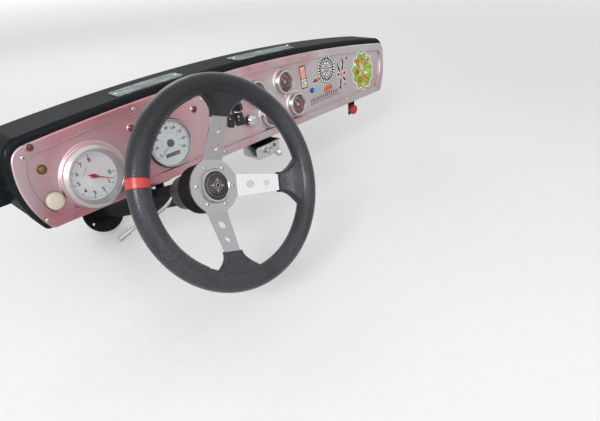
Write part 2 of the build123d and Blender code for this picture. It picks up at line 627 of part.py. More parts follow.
lamp_at = (BOX_X + BOX_W / 2 - LAMP_IN, box_top - LAMP_DROP)
with BuildPart() as box_lamp:
    with BuildSketch(front):
        with Locations(lamp_at):
            Circle(4.5)
    extrude(amount=2)
    fillet(facing(box_lamp, front).edges(), 1.5)
box_lamp.part.label = "box_lamp"
export_step(box_lamp.part, "parts/box_lamp.step")

# Red knob on a strip under the panel's right half
STRIP_X, STRIP_WIDE, STRIP_LONG, STRIP_T = placed(900.0, 0)[0], 26.0, 34.0, 3.0
RED_KNOB_R, RED_KNOB_LONG = 13.0, 12.0
with BuildPart() as knob_strip:
    with BuildSketch(Plane.XZ.offset(-PANEL_Y - 12)):
        with Locations((STRIP_X, pan_under)):
            Rectangle(STRIP_WIDE, STRIP_LONG, align=(Align.CENTER, Align.MAX))
    extrude(amount=STRIP_T)
    with BuildSketch(Plane.XY.offset(pan_under)):
        with Locations((STRIP_X, PANEL_Y + 12)):
            Rectangle(STRIP_WIDE, 20, align=(Align.CENTER, Align.MIN))
    extrude(amount=-STRIP_T)
knob_strip.part.label = "knob_strip"
export_step(knob_strip.part, "parts/knob_strip.step")

strip_face = Plane.XZ.offset(-PANEL_Y - 12 + STRIP_T)
with BuildPart() as red_knob:
    with BuildSketch(strip_face):
        with Locations((STRIP_X, pan_under - STRIP_LONG + RED_KNOB_R)):
            Circle(RED_KNOB_R)
    extrude(amount=RED_KNOB_LONG)
    fillet(facing(red_knob, strip_face).edges(), 3)
red_knob.part.label = "red_knob"
export_step(red_knob.part, "parts/red_knob.step")

# Grey strips on the shelf: thin plates that follow the shelf's arch
PLATES = [(placed(294.0, 0)[0], 152.0), (placed(612.0, 0)[0], 192.0)]   # middle and length
PLATE_Y, PLATE_D = PANEL_Y + 60, 40.0
with BuildPart() as shelf_strip:
    with BuildSketch(at(0, 0, -PANEL_T)):
        add(pan_outline(taller=2))
    extrude(amount=CUT, dir=FORWARD)
    with BuildSketch(at(0, 0, -PANEL_T)):
        add(pan_outline())
    extrude(amount=CUT, dir=FORWARD, mode=Mode.SUBTRACT)
    with BuildSketch(Plane.XY) as patch:
        for x, long in PLATES:
            with Locations((x, PLATE_Y)):
                Rectangle(long, PLATE_D)
        fillet(patch.vertices(), 8)
    extrude(amount=CUT, mode=Mode.INTERSECT)
shelf_strip.part.label = "shelf_strip"
export_step(shelf_strip.part, "parts/shelf_strip.step")

# Wheel: a dished spider, the leather rim, the boss, the horn ring and button
slope = tan(radians(SPOKE_RISE))
SPOKE_END = RIM_R - 8           # inside the rim's grip
spoke_height = slope * (SPOKE_END + 2 - HUB_R)
with BuildPart() as spoke:
    with BuildSketch(Plane.XZ):
        with BuildLine():
            Polyline((20, -DISH), (HUB_R - 2, -DISH), (SPOKE_END, -DISH + spoke_height),
                     (SPOKE_END, -DISH + spoke_height - PLATE / cos(radians(SPOKE_RISE))),
                     (HUB_R - 3, -DISH - PLATE), (20, -DISH - PLATE), close=True)
        make_face()
    extrude(amount=34, both=True)
    for out, d in SPOKE_HOLES:
        with BuildSketch(Plane(origin=(HUB_R + out, 0, -DISH + slope * (out + 2)),
                               x_dir=(cos(radians(SPOKE_RISE)), 0, sin(radians(SPOKE_RISE))),
                               z_dir=(-sin(radians(SPOKE_RISE)), 0, cos(radians(SPOKE_RISE))))):
            Circle(d / 2)
        extrude(amount=10, both=True, mode=Mode.SUBTRACT)

with BuildPart() as wheel_spider:
    with BuildSketch(column(DISH + PLATE)):
        Circle(HUB_R)
    extrude(amount=PLATE)
    with Locations(*[column(0, spin) for spin in SPOKES]):
        add(spoke.part)
    with BuildSketch(column(DISH + 4 * PLATE)) as plan:
        Circle(HUB_R)
        for spin in SPOKES:
            with Locations(Location((0, 0, 0), (0, 0, spin))):
                Polygon((0, -SPOKE_ROOT / 2), (SPOKE_END, -SPOKE_TIP / 2), (SPOKE_END, SPOKE_TIP / 2),
                        (0, SPOKE_ROOT / 2), align=None)
        corners = plan.vertices().filter_by(lambda v: sqrt(v.X ** 2 + v.Y ** 2) < HUB_R + 1)
        fillet(corners, 9)
    extrude(amount=2 * DISH, mode=Mode.INTERSECT)
wheel_spider.part.label = "wheel_spider"
export_step(wheel_spider.part, "parts/wheel_spider.step")

# Leather's sections from the spoke's end into the rim:
# in from the rim's circle, height from the rim's plane, width, thickness
FLARE = [(48.4, -21.7, 36, 13), (38.4, -16.5, 40, 15), (29.4, -10.5, 56, 18.5), (19.4, -4.5, 84, 20.5)]
FLARE += [(8.4, 0, 116, 21)]
with BuildPart() as flare:
    for inward, z, wide, thick in FLARE:
        with BuildSketch(Plane(origin=(RIM_R - inward, 0, z), x_dir=(0, 1, 0), z_dir=(1, 0, 0))):
            RectangleRounded(wide, thick, thick / 2 - 1)
    loft()

band_arc = degrees(BAND_WIDE / RIM_R)
band_start = column(0, TURN + 90 - band_arc / 2)
with BuildPart() as centre_band:
    with BuildSketch(Plane(origin=wheel.origin, x_dir=band_start.x_dir, z_dir=-band_start.y_dir)):
        with Locations((RIM_R, 0)):
            Circle(GRIP_R + 0.6)
            Circle(GRIP_R - 1, mode=Mode.SUBTRACT)
    revolve(axis=column_axis, revolution_arc=band_arc)
centre_band.part.label = "centre_band"
export_step(centre_band.part, "parts/centre_band.step")

with BuildPart() as wheel_rim:
    with BuildSketch(column_cut):
        with Locations((RIM_R, 0)):
            Circle(GRIP_R)
    revolve(axis=column_axis)
    with Locations(*[column(0, spin) for spin in SPOKES]):
        add(flare.part)
    add(wheel_spider.part, mode=Mode.SUBTRACT)
    add(centre_band.part, mode=Mode.SUBTRACT)
wheel_rim.part.label = "wheel_rim"
export_step(wheel_rim.part, "parts/wheel_rim.step")

# Boss: a stack of rounded rings that narrows towards the column
RIBS, RIB_START = 6, 5.0
boss_top = DISH + PLATE
rib_pitch = (BOSS_END - boss_top - RIB_START - 3) / RIBS
rib_profile = [(SHAFT_R, -boss_top), (BOSS_R - 1.5, -boss_top), (BOSS_R - 1.5, -boss_top - RIB_START)]
for i in range(RIBS):
    z = -boss_top - RIB_START - i * rib_pitch
    crest = BOSS_R - 0.25 * i
    rib_profile += [(crest - 2, z - 1.5), (crest, z - 0.4 * rib_pitch), (crest, z - 0.6 * rib_pitch),
                    (crest - 2, z - rib_pitch + 0.5)]
rib_profile += [(BOSS_R - 5, -BOSS_END), (SHAFT_R, -BOSS_END)]
with BuildPart() as hub_boss:
    turn_on_column(rib_profile)
    with BuildSketch(column(boss_top)):
        Circle(SHAFT_R)
    extrude(amount=boss_top - SHAFT_TOP)
hub_boss.part.label = "hub_boss"
export_step(hub_boss.part, "parts/hub_boss.step")

HORN_IN, HORN_HIGH = 23.2, 6.0
with BuildPart() as horn_ring:
    turn_on_column([(HORN_IN, -DISH), (HORN_R, -DISH), (HORN_R, HORN_HIGH - DISH - 2),
                    (HORN_R - 1.5, HORN_HIGH - DISH), (HORN_IN + 1.3, HORN_HIGH - DISH),
                    (HORN_IN, HORN_HIGH - DISH - 1.3)])
horn_ring.part.label = "horn_ring"
export_step(horn_ring.part, "parts/horn_ring.step")

dome = (HORN_IN ** 2 + BUTTON_DOME ** 2) / (2 * BUTTON_DOME)    # radius of the domed front
button_edge = HORN_HIGH - DISH - 1.3
button_top = button_edge + BUTTON_DOME
half_way = button_top - dome + sqrt(dome ** 2 - HORN_IN ** 2 / 4)
with BuildPart() as horn_button:
    with BuildSketch(column_cut):
        with BuildLine():
            Polyline((0, button_top), (0, -DISH), (HORN_IN, -DISH), (HORN_IN, button_edge))
            ThreePointArc((HORN_IN, button_edge), (HORN_IN / 2, half_way), (0, button_top))
        make_face()
    revolve(axis=column_axis)
horn_button.part.label = "horn_button"
export_step(horn_button.part, "parts/horn_button.step")
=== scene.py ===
import math
import bmesh
import bpy
from mathutils import Matrix, Vector


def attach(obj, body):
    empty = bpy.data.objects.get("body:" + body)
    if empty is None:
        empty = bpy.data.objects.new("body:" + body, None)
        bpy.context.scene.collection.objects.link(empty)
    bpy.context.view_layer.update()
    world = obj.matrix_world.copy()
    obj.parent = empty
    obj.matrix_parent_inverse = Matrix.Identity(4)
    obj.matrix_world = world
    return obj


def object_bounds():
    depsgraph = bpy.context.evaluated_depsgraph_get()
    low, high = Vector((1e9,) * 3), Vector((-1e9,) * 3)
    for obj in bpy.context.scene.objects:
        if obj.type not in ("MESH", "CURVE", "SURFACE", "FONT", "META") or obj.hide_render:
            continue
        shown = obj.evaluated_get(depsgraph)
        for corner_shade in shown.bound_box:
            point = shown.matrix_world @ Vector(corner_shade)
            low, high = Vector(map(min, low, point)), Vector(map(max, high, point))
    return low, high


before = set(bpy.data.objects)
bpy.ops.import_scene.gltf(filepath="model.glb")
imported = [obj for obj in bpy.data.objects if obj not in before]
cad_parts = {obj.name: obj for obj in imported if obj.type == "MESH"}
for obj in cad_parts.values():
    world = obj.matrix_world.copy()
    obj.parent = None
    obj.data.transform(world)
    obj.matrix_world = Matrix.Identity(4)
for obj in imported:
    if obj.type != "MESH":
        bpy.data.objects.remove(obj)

cad_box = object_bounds()
MM = 0.001

# Places and lengths are in mm and angles in degrees, as in the part's source. The camera, the
# materials and the stage are in metres.

# The panel's plane, and the levels on it, counted towards the driver from its border's front
TILT = 7.9
PANEL_Y, PANEL_Z = -118.0, -122.0
RECESS = -4.0
DIAL_LEVEL = {"tach": -9.0, "speedometer": -2.5, "small": 0.0}

# Places on the panel: along it from the middle of the car, and up it from its lower edge
TACH = (-415.0, 59.5)
SPEEDO = (-250.0, 69.0)
SMALL = [(-1.0, 109.0), (31.0, 50.0), (95.0, 113.0), (127.5, 51.0)]
RED_LAMPS = [(-321.0, 121.0), (-175.0, 118.0)]
AMBER_LAMP, CORNER_LAMP = (-495.0, 101.0), (-502.0, 142.0)
LIGHT_DOT = (-150.0, 132.0)
LOCK = (-84.0, 100.0)
BORDER_SCREWS = [(-517, 129), (-517, 18), (-307, 153), (180, 158), (359, 144), (515, 122), (482, 18),
                 (333, 14), (171, 11), (-124, 9), (-319, 10)]

# Where the dials' numbers stand
TACH_ANGLES = [-5.6 - 33.3 * n for n in range(9)]
SPEEDO_ANGLES = [211.0 - 29.8 * n for n in range(9)]

# The key's ring under the lock and out from the panel, and the fobs that hang at its sides
RING_DROP, RING_OUT, RING_R, RING_TILT = 8.0, 20.0, 10.5, 20.0
FOB_ASIDE, FOB_TURN = 10.3, -45.0

# Screws of the strips on the shelf, in the part's frame
STRIP_SCREWS = [(-315, -58, 54.4), (-177, -58, 60.2), (-17, -58, 63.0), (161, -58, 60.8)]

# The steering column's axis, and the wheel on it, with depths counted back from the rim's plane
RAKE = 23.1
WHEEL_AT = (-312.0, -366.3, -44.9)
RIM_R, GRIP_R = 158.4, 16.6
HUB_DISH, HUB_SCREWS_R = 53.5, 35.0
BUTTON_EDGE, BUTTON_SPAN, BUTTON_DOME = 48.8, 23.2, 4.3
TURN = 70.2
SPOKE_TURNS = (TURN - 90.0, TURN, TURN + 180.0)
BAND_TURN, BAND_WIDE = TURN + 90.0, 14.0

# The rim's seam: its place round the grip, its half width, its stitches, and how many degrees
# its welts and its stitches keep from the spokes and from the band
SEAM_AT, SEAM_HALF = 12.0, 3.4
STITCH_STEP, STITCH_HALF = 2.05, 7.5
WELT_CLEAR, STITCH_CLEAR = (25.5, 3.2), (26.0, 3.6)

# The rolled end of the leather on each spoke: its place, and its section round the spoke
SLEEVE_DEPTH, SLEEVE_AT = 21.7, RIM_R - 46.6
SLEEVE_WIDE, SLEEVE_THICK, SLEEVE_CORNER = 31.0, 11.5, 5.0

# How thick a print and a layer of a motif are, and the angle over which an edge stays crisp
PRINT_THICK, LAYER = 0.12, 0.07
SHARP = 35.0

# The camera, fitted to the photograph, with its focal length in the photograph's pixels
PHOTO_WIDE, FOCAL = 600.0, 486.3
YAW, PITCH, ROLL = 46.9, 28.7, 3.7
CAMERA_AT = (-0.756, -0.923, 0.281)

# The floor's half width and its drop below the part, and the lamps: place, aim, size, power
FLOOR_HALF, FLOOR_DROP = 14.0, 0.0015
LAMPS = {
    "key": ((-1.0, -3.0, 1.6), (-0.2, -0.3, 0.0), 3.4, 34.0),
    "side": ((-2.55, -1.55, 1.45), (-0.2, -0.3, 0.0), 0.95, 48.0),
    "back": ((0.6, 2.2, 1.9), (0.0, -0.1, 0.0), 2.0, 18.0),
}


def frame_at(origin, x_axis, z_axis):
    """A matrix from local metres to the object's frame."""
    z = Vector(z_axis).normalized()
    x = Vector(x_axis)
    x = (x - z * x.dot(z)).normalized()
    y = z.cross(x)
    m = Matrix((x, y, z)).transposed().to_4x4()
    m.translation = Vector(origin) * MM
    return m


def on_panel(x, s, out=0.0, turn=0.0):
    """A place x along the panel, s up it and out from its border's front, turned about its face."""
    lean, rise = math.sin(math.radians(TILT)), math.cos(math.radians(TILT))
    y = PANEL_Y + s * lean - out * rise
    z = PANEL_Z + s * rise + out * lean
    return frame_at((x, y, z), (1, 0, 0), (0, -rise, lean)) @ Matrix.Rotation(math.radians(turn), 4, "Z")


def on_column(depth, turn=0.0, radius=0.0):
    """A place behind the rim's plane, turned from level to the right, and a radius out from the axis."""
    back = Vector((0, math.cos(math.radians(RAKE)), -math.sin(math.radians(RAKE))))
    m = frame_at(Vector(WHEEL_AT) + depth * back, (1, 0, 0), -back)
    return m @ Matrix.Rotation(math.radians(turn), 4, "Z") @ Matrix.Translation((radius * MM, 0, 0))


# Camera

def make_camera():
    yaw, pitch, roll = (math.radians(a) for a in (YAW, PITCH, ROLL))
    ahead = Vector((math.sin(yaw) * math.cos(pitch), math.cos(yaw) * math.cos(pitch), -math.sin(pitch)))
    right = Vector((math.cos(yaw), -math.sin(yaw), 0))
    down = ahead.cross(right)
    across = right * math.cos(roll) + down * math.sin(roll)
    below = down * math.cos(roll) - right * math.sin(roll)
    data = bpy.data.cameras.new("camera")
    data.sensor_width = 36.0
    data.lens = FOCAL / PHOTO_WIDE * data.sensor_width
    data.clip_start = 0.01
    data.clip_end = 60.0
    cam = bpy.data.objects.new("camera", data)
    m = Matrix((across, -below, -ahead)).transposed().to_4x4()
    m.translation = Vector(CAMERA_AT)
    cam.matrix_world = m
    bpy.context.scene.collection.objects.link(cam)
    bpy.context.scene.camera = cam


make_camera()


# Materials

def toned(colour, share, plus=0.0):
    """The colour times a share, plus what is added all over, and no brighter than white."""
    return tuple(min(1.0, share * c + plus) for c in colour)


class Look:
    """A node material in the object's own coordinates."""

    def __init__(self, name, colour, rough, metal=0.0, **sockets):
        self.mat = bpy.data.materials.new(name)
        self.mat.use_nodes = True
        tree = self.mat.node_tree
        self.nodes, self.links = tree.nodes, tree.links
        self.shader = self.nodes["Principled BSDF"]
        self.set("Base Color", (*colour, 1.0))
        self.set("Roughness", rough)
        self.set("Metallic", metal)
        for key, value in sockets.items():
            self.set(key.replace("_", " "), value)
        self.place = self.nodes.new("ShaderNodeTexCoord").outputs["Object"]

    def set(self, socket, value):
        self.shader.inputs[socket].default_value = value

    def join(self, output, socket):
        self.links.new(output, self.shader.inputs[socket])

    def node(self, kind, **values):
        made = self.nodes.new(kind)
        for key, value in values.items():
            setattr(made, key, value)
        return made

    def feed(self, node, socket, value):
        """Links an output to the socket, or sets the socket to a plain value."""
        if isinstance(value, bpy.types.NodeSocket):
            self.links.new(value, node.inputs[socket])
        else:
            node.inputs[socket].default_value = value

    def scaled(self, scale, turn=(0, 0, 0)):
        made = self.node("ShaderNodeMapping")
        self.links.new(self.place, made.inputs["Vector"])
        made.inputs["Scale"].default_value = scale
        made.inputs["Rotation"].default_value = turn
        return made.outputs["Vector"]

    def noise(self, scale, detail, rough, place=None, distortion=0.0):
        made = self.node("ShaderNodeTexNoise")
        self.links.new(place or self.place, made.inputs["Vector"])
        made.inputs["Scale"].default_value = scale
        made.inputs["Detail"].default_value = detail
        made.inputs["Roughness"].default_value = rough
        made.inputs["Distortion"].default_value = distortion
        return made.outputs["Fac"]

    def cells(self, scale):
        made = self.node("ShaderNodeTexVoronoi", feature="SMOOTH_F1")
        self.links.new(self.place, made.inputs["Vector"])
        made.inputs["Scale"].default_value = scale
        return made.outputs["Distance"]

    def spread(self, value, low, high, to_low=0.0, to_high=1.0):
        """Maps low to to_low and high to to_high, and holds there beyond them."""
        made = self.node("ShaderNodeMapRange")
        self.feed(made, "Value", value)
        made.inputs["From Min"].default_value = low
        made.inputs["From Max"].default_value = high
        made.inputs["To Min"].default_value = to_low
        made.inputs["To Max"].default_value = to_high
        return made.outputs["Result"]

    def reckon(self, kind, a, b):
        made = self.node("ShaderNodeMath", operation=kind)
        self.feed(made, 0, a)
        self.feed(made, 1, b)
        return made.outputs[0]

    def add(self, a, b):
        return self.reckon("ADD", a, b)

    def times(self, a, b):
        return self.reckon("MULTIPLY", a, b)

    def larger(self, a, b):
        return self.reckon("MAXIMUM", a, b)

    def blend(self, share, a, b):
        """Colour a where the share is 0, and b where it is 1."""
        share_socket, a_socket, b_socket, colour_output = 0, 6, 7, 2
        made = self.node("ShaderNodeMix", data_type="RGBA")
        self.feed(made, share_socket, share)
        for socket, colour in ((a_socket, a), (b_socket, b)):
            self.feed(made, socket, (*colour, 1.0) if isinstance(colour, tuple) else colour)
        return made.outputs[colour_output]

    def bump(self, height, strength, depth, after=None):
        made = self.node("ShaderNodeBump")
        made.inputs["Strength"].default_value = strength
        made.inputs["Distance"].default_value = depth
        self.links.new(height, made.inputs["Height"])
        if after is not None:
            self.links.new(after, made.inputs["Normal"])
        return made.outputs["Normal"]

    def part(self, axis):
        """The coordinate along X, Y or Z, as 0, 1 or 2."""
        made = self.node("ShaderNodeSeparateXYZ")
        self.links.new(self.place, made.inputs[0])
        return made.outputs[axis]

    def away(self, point):
        """The distance from a point."""
        made = self.node("ShaderNodeVectorMath", operation="DISTANCE")
        self.links.new(self.place, made.inputs[0])
        made.inputs[1].default_value = point
        return made.outputs["Value"]

    def creases(self, reach):
        """1 deep in corners, fading out within the reach: a mask for painted shade."""
        made = self.node("ShaderNodeAmbientOcclusion", samples=6)
        made.inputs["Distance"].default_value = reach
        return self.spread(made.outputs["AO"], 0.35, 0.95, 1.0, 0.0)

    def edges(self, reach):
        """1 on the ridge of outer edges: a mask for edge wear and for painted highlights along edges."""
        made = self.node("ShaderNodeAmbientOcclusion", samples=6, inside=True)
        made.inputs["Distance"].default_value = reach
        return self.spread(made.outputs["AO"], 0.25, 0.85, 1.0, 0.0)


def aluminium(name, colour, rough, stretch, blot, edge=0.0, grain=0.10):
    """Bare metal: streaked as its stretch says, blotchy, and with a painted highlight that makes its edges
    paler where an edge share is given.
    """
    look = Look(name, colour, rough, 1.0)
    lines = look.noise(1.0, 4.0, 0.6, look.scaled(stretch))
    fine = look.noise(1.0, 2.0, 0.5, look.scaled(tuple(2.6 * v for v in stretch)))
    blots = look.noise(9.0, 4.0, 0.6)
    tone = look.blend(look.spread(blots, 0.3, 0.7, 1.0 - blot * 0.22, 1.0), toned(colour, 0.80), colour)
    tone = look.blend(look.spread(lines, 0.35, 0.65, 0.0, 0.22), tone, toned(colour, 1.10))
    # Painted highlight: edges paler by the edge share.
    if edge:
        tone = look.blend(look.times(look.edges(0.0014), edge), tone, toned(colour, 1.6))
    look.join(tone, "Base Color")
    wear = look.add(look.spread(fine, 0.3, 0.7, -0.05, 0.05), look.spread(blots, 0.3, 0.7, 0.05, -0.05))
    look.join(look.add(wear, rough), "Roughness")
    look.join(look.bump(lines, grain, 0.0004), "Normal")
    return look.mat


def chrome():
    """Chrome with a few dull smudges."""
    colour, rough = (0.66, 0.65, 0.66), 0.07
    look = Look("chrome", colour, rough, 1.0)
    smudge = look.noise(60.0, 4.0, 0.65)
    look.join(look.spread(smudge, 0.35, 0.75, 0.7 * rough, 2.2 * rough), "Roughness")
    look.join(look.blend(look.spread(smudge, 0.3, 0.8), colour, toned(colour, 0.93)), "Base Color")
    return look.mat


def leather(name, colour, wear_and_sheen, grain, rough, depth, shine):
    """Pebbled leather: creased, darker in the hollows, and greyed in patches that are partly wear where hands
    rub and partly a painted sheen; painted light makes the greying stronger low on the part and weaker at its
    top.
    """
    look = Look(name, colour, rough, Specular_IOR_Level=shine, Sheen_Weight=0.05, Sheen_Roughness=0.4)
    pebble = look.cells(grain)
    crease = look.noise(grain * 0.22, 4.0, 0.62)
    patches = look.noise(11.0, 4.0, 0.6, distortion=0.6)
    # Painted light: the greying grows towards the lower part and fades towards the top.
    painted_sheen_low = look.spread(look.part(2), 0.10, 0.0, 0.20, 1.0)
    rub = look.times(look.spread(patches, 0.34, 0.60, 0.35, 1.0), look.spread(crease, 0.30, 0.62, 0.65, 1.0))
    # The greyer colour is partly wear and partly a painted sheen.
    tone = look.blend(look.times(rub, painted_sheen_low), colour, wear_and_sheen)
    look.join(look.blend(look.spread(pebble, 0.25, 0.75, 0.0, 0.55), tone, toned(colour, 0.35)), "Base Color")
    gloss = look.add(look.spread(patches, 0.3, 0.7, 0.07, -0.08), look.spread(pebble, 0.1, 0.7, -0.05, 0.10))
    look.join(look.add(gloss, rough), "Roughness")
    creased = look.bump(crease, 0.22, depth)
    look.join(look.bump(pebble, 0.42, depth, creased), "Normal")
    return look.mat


def paint(name, colour, rough, peel, edge=None):
    """Satin paint with a thin dust, and with another colour on its edges where one is given."""
    look = Look(name, colour, rough, Specular_IOR_Level=0.0, Coat_Weight=0.18, Coat_Roughness=0.22)
    flow = look.noise(160.0, 2.0, 0.5)
    dust = look.noise(14.0, 5.0, 0.65)
    tone = look.blend(look.spread(dust, 0.4, 0.8, 0.0, 0.38), colour, toned(colour, 1.5, 0.0115))
    if edge:
        tone = look.blend(look.times(look.edges(0.0016), look.spread(dust, 0.4, 0.6)), tone, edge)
    look.join(tone, "Base Color")
    look.join(look.add(look.spread(dust, 0.3, 0.75, -0.04, 0.126), rough), "Roughness")
    look.join(look.bump(flow, peel, 0.0003), "Normal")
    return look.mat


def plastic(name, colour, rough, grain=700.0, strength=0.12, shine=0.5):
    look = Look(name, colour, rough, Specular_IOR_Level=shine)
    fine = look.noise(grain, 3.0, 0.6)
    stain = look.noise(45.0, 3.0, 0.5)
    look.join(look.blend(look.spread(stain, 0.3, 0.75), colour, toned(colour, 0.86)), "Base Color")
    look.join(look.add(look.spread(stain, 0.3, 0.7, -0.04, 0.06), rough), "Roughness")
    look.join(look.bump(fine, strength, 0.0002), "Normal")
    return look.mat


def lens(name, colour):
    look = Look(name, colour, 0.08, Transmission_Weight=0.45, IOR=1.49, Coat_Weight=0.4)
    ribs = look.noise(380.0, 2.0, 0.5)
    look.join(look.blend(look.spread(ribs, 0.35, 0.65), colour, toned(colour, 0.6)), "Base Color")
    look.join(look.bump(ribs, 0.25, 0.0004), "Normal")
    return look.mat


def clear_glass():
    look = Look("clear_glass", (1.0, 1.0, 1.0), 0.0, Transmission_Weight=1.0, IOR=1.46)
    dust = look.noise(30.0, 3.0, 0.6)
    look.join(look.spread(dust, 0.45, 0.9, 0.0, 0.04), "Roughness")
    return look.mat


def dial_paper(name, high, low, bottom, top):
    """A dial's face: one white at the bottom's height and another at the top's, their difference a painted
    tint of light.
    """
    look = Look(name, high, 0.42, Coat_Weight=0.15)
    # Painted light: the face's tint changes with height.
    tone = look.blend(look.spread(look.part(2), bottom, top), low, high)
    speck = look.noise(260.0, 3.0, 0.6)
    look.join(look.blend(look.spread(speck, 0.45, 0.8, 0.0, 0.10), tone, (0.62, 0.60, 0.62)), "Base Color")
    look.join(look.bump(speck, 0.05, 0.0002), "Normal")
    return look.mat


def grey_needle():
    """The speedometer's pointer: its hub dark with a darker ring, and its arm pale."""
    dark, ring, pale = (0.085, 0.085, 0.095), (0.030, 0.030, 0.034), (0.62, 0.52, 0.50)
    hub_r, above_dial = 0.0079, 1.5
    look = Look("needle_grey", pale, 0.32)
    reach = look.away(on_panel(*SPEEDO, DIAL_LEVEL["speedometer"] + above_dial).to_translation())
    speck = look.noise(400.0, 3.0, 0.6)
    hub = look.blend(look.spread(reach, 0.62 * hub_r, 0.66 * hub_r), dark, ring)
    tone = look.blend(look.spread(reach, hub_r, 1.02 * hub_r), hub, pale)
    look.join(look.blend(look.spread(speck, 0.4, 0.8, 0.0, 0.25), tone, toned(dark, 0.7)), "Base Color")
    look.join(look.spread(speck, 0.3, 0.7, 0.26, 0.38), "Roughness")
    return look.mat


def printed(name, colour, rough=0.5):
    look = Look(name, colour, rough, Specular_IOR_Level=0.4)
    ink = look.noise(900.0, 2.0, 0.5)
    tone = look.blend(look.spread(ink, 0.4, 0.7, 0.0, 0.35), colour, toned(colour, 1.25, 0.02))
    look.join(tone, "Base Color")
    look.join(look.bump(ink, 0.06, 0.0001), "Normal")
    return look.mat


def worn_strip():
    """A dark painted strip, rubbed to pale streaks along its length and bright at its edges."""
    look = Look("strip", (0.05, 0.068, 0.066), 0.42, 0.35, Specular_IOR_Level=0.3)
    streaks = look.noise(1.0, 4.0, 0.62, look.scaled((16.0, 150.0, 150.0)))
    patches = look.noise(24.0, 4.0, 0.6, distortion=0.7)
    rubbed = look.spread(look.add(streaks, look.times(patches, 0.55)), 0.72, 0.92, 0.0, 0.85)
    tone = look.blend(rubbed, (0.045, 0.062, 0.060), (0.33, 0.42, 0.41))
    look.join(look.blend(look.edges(0.0012), tone, (0.55, 0.63, 0.62)), "Base Color")
    look.join(look.spread(patches, 0.3, 0.7, 0.34, 0.56), "Roughness")
    look.join(look.bump(streaks, 0.15, 0.0004), "Normal")
    return look.mat


def panel_aluminium():
    """Satin aluminium, brushed, cloudy and scratched, with a painted red reflection in patches, painted shade
    in its hollows and painted highlights along its raised edges.
    """
    # The rose colour is a painted red reflection, the dark corner colour painted shade, and the pale edge
    # colour a painted highlight.
    rose, plain, cloudy = (0.570, 0.225, 0.265), (0.625, 0.575, 0.590), (0.42, 0.30, 0.315)
    brushed, corner_shade = (0.72, 0.66, 0.67), (0.27, 0.19, 0.20)
    edge_highlight, scratched = (0.80, 0.74, 0.75), (0.70, 0.64, 0.65)
    look = Look("panel_aluminium", (0.50, 0.44, 0.46), 0.30, 1.0)

    # Less painted red reflection at the left end and about the tachometer, in their upper parts, and to the
    # right
    end = look.spread(look.part(0), -0.43, -0.53, 0.0, 0.90)
    near = look.spread(look.away(on_panel(*TACH).to_translation()), 0.066, 0.100, 0.80, 0.0)
    upper = look.times(look.larger(end, near), look.spread(look.part(2), -0.110, -0.065))
    plainer = look.larger(look.spread(look.part(0), -0.12, 0.30), upper)
    drift = look.noise(3.4, 3.0, 0.55, distortion=0.8)

    clouds = look.noise(9.0, 5.0, 0.62)
    brush = look.noise(1.0, 2.0, 0.5, look.scaled((9.0, 9.0, 2400.0)))
    slant = look.scaled((45.0, 800.0, 800.0), (0, math.radians(17), 0))
    scratch = look.spread(look.noise(1.0, 2.0, 0.5, slant), 0.68, 0.74)
    # Painted red reflection: the rose colour where the drift and the masks allow, plain aluminium elsewhere.
    tone = look.blend(look.add(look.spread(drift, 0.34, 0.66, -0.50, 0.85), plainer), rose, plain)
    tone = look.blend(look.spread(clouds, 0.35, 0.80, 0.0, 0.60), tone, cloudy)
    tone = look.blend(look.spread(brush, 0.35, 0.65, 0.0, 0.08), tone, brushed)
    # Painted shade in the corners and hollows.
    tone = look.blend(look.creases(0.014), tone, corner_shade)
    # Painted highlight along the raised edges.
    tone = look.blend(look.times(look.edges(0.0022), 0.8), tone, edge_highlight)
    look.join(look.blend(look.times(scratch, 0.5), tone, scratched), "Base Color")

    dull = look.add(look.spread(clouds, 0.3, 0.7, -0.05, 0.09), look.spread(brush, 0.3, 0.7, -0.03, 0.03))
    look.join(look.add(dull, 0.31), "Roughness")
    brushing = look.bump(brush, 0.03, 0.0002)
    look.join(look.bump(clouds, 0.08, 0.004, brushing), "Normal")
    return look.mat


PANEL = panel_aluminium()
# The spider's edge share of 0.8 paints a highlight on its edges.
SPIDER = aluminium("spider_aluminium", (0.43, 0.42, 0.435), 0.22, (30.0, 900.0, 900.0), 0.9, 0.8, 0.03)
BRIGHT = aluminium("bright_aluminium", (0.60, 0.58, 0.565), 0.32, (500.0, 500.0, 500.0), 0.9)
CHROME = chrome()
STEEL = aluminium("steel", (0.50, 0.50, 0.51), 0.28, (400.0, 400.0, 400.0), 1.0)
BRASS = aluminium("brass", (0.72, 0.55, 0.28), 0.30, (400.0, 400.0, 400.0), 1.0)
# Each leather's second colour is partly wear and partly a painted sheen.
LEATHER = leather("leather", (0.006, 0.0055, 0.008), (0.052, 0.055, 0.067), 620.0, 0.24, 0.0006, 0.38)
RED_LEATHER = leather("red_leather", (0.50, 0.030, 0.036), (0.66, 0.07, 0.075), 900.0, 0.26, 0.0003, 0.45)
PAN = paint("pan_paint", (0.009, 0.011, 0.013), 0.40, 0.30)
COLUMN = paint("column_paint", (0.006, 0.006, 0.007), 0.42, 0.20, edge=(0.05, 0.05, 0.05))
RUBBER = plastic("black_rubber", (0.014, 0.014, 0.015), 0.55, shine=0.3)
BOSS = plastic("boss_rubber", (0.007, 0.007, 0.009), 0.36, 520.0, 0.25, 0.12)
GLOSS = plastic("black_gloss", (0.008, 0.008, 0.009), 0.16, 200.0, 0.03)
BLACK = plastic("black_plastic", (0.014, 0.015, 0.017), 0.36)
CREAM = plastic("cream", (0.62, 0.56, 0.45), 0.36, 300.0, 0.05)
RED = plastic("red_plastic", (0.42, 0.022, 0.026), 0.30)
RED_LENS = lens("red_lens", (0.26, 0.018, 0.014))
AMBER_LENS = lens("amber_lens", (0.42, 0.13, 0.010))
GLASS = clear_glass()
STRIP = worn_strip()
NEEDLE_RED = plastic("needle_red", (0.62, 0.035, 0.05), 0.38)
NEEDLE_GREY = grey_needle()
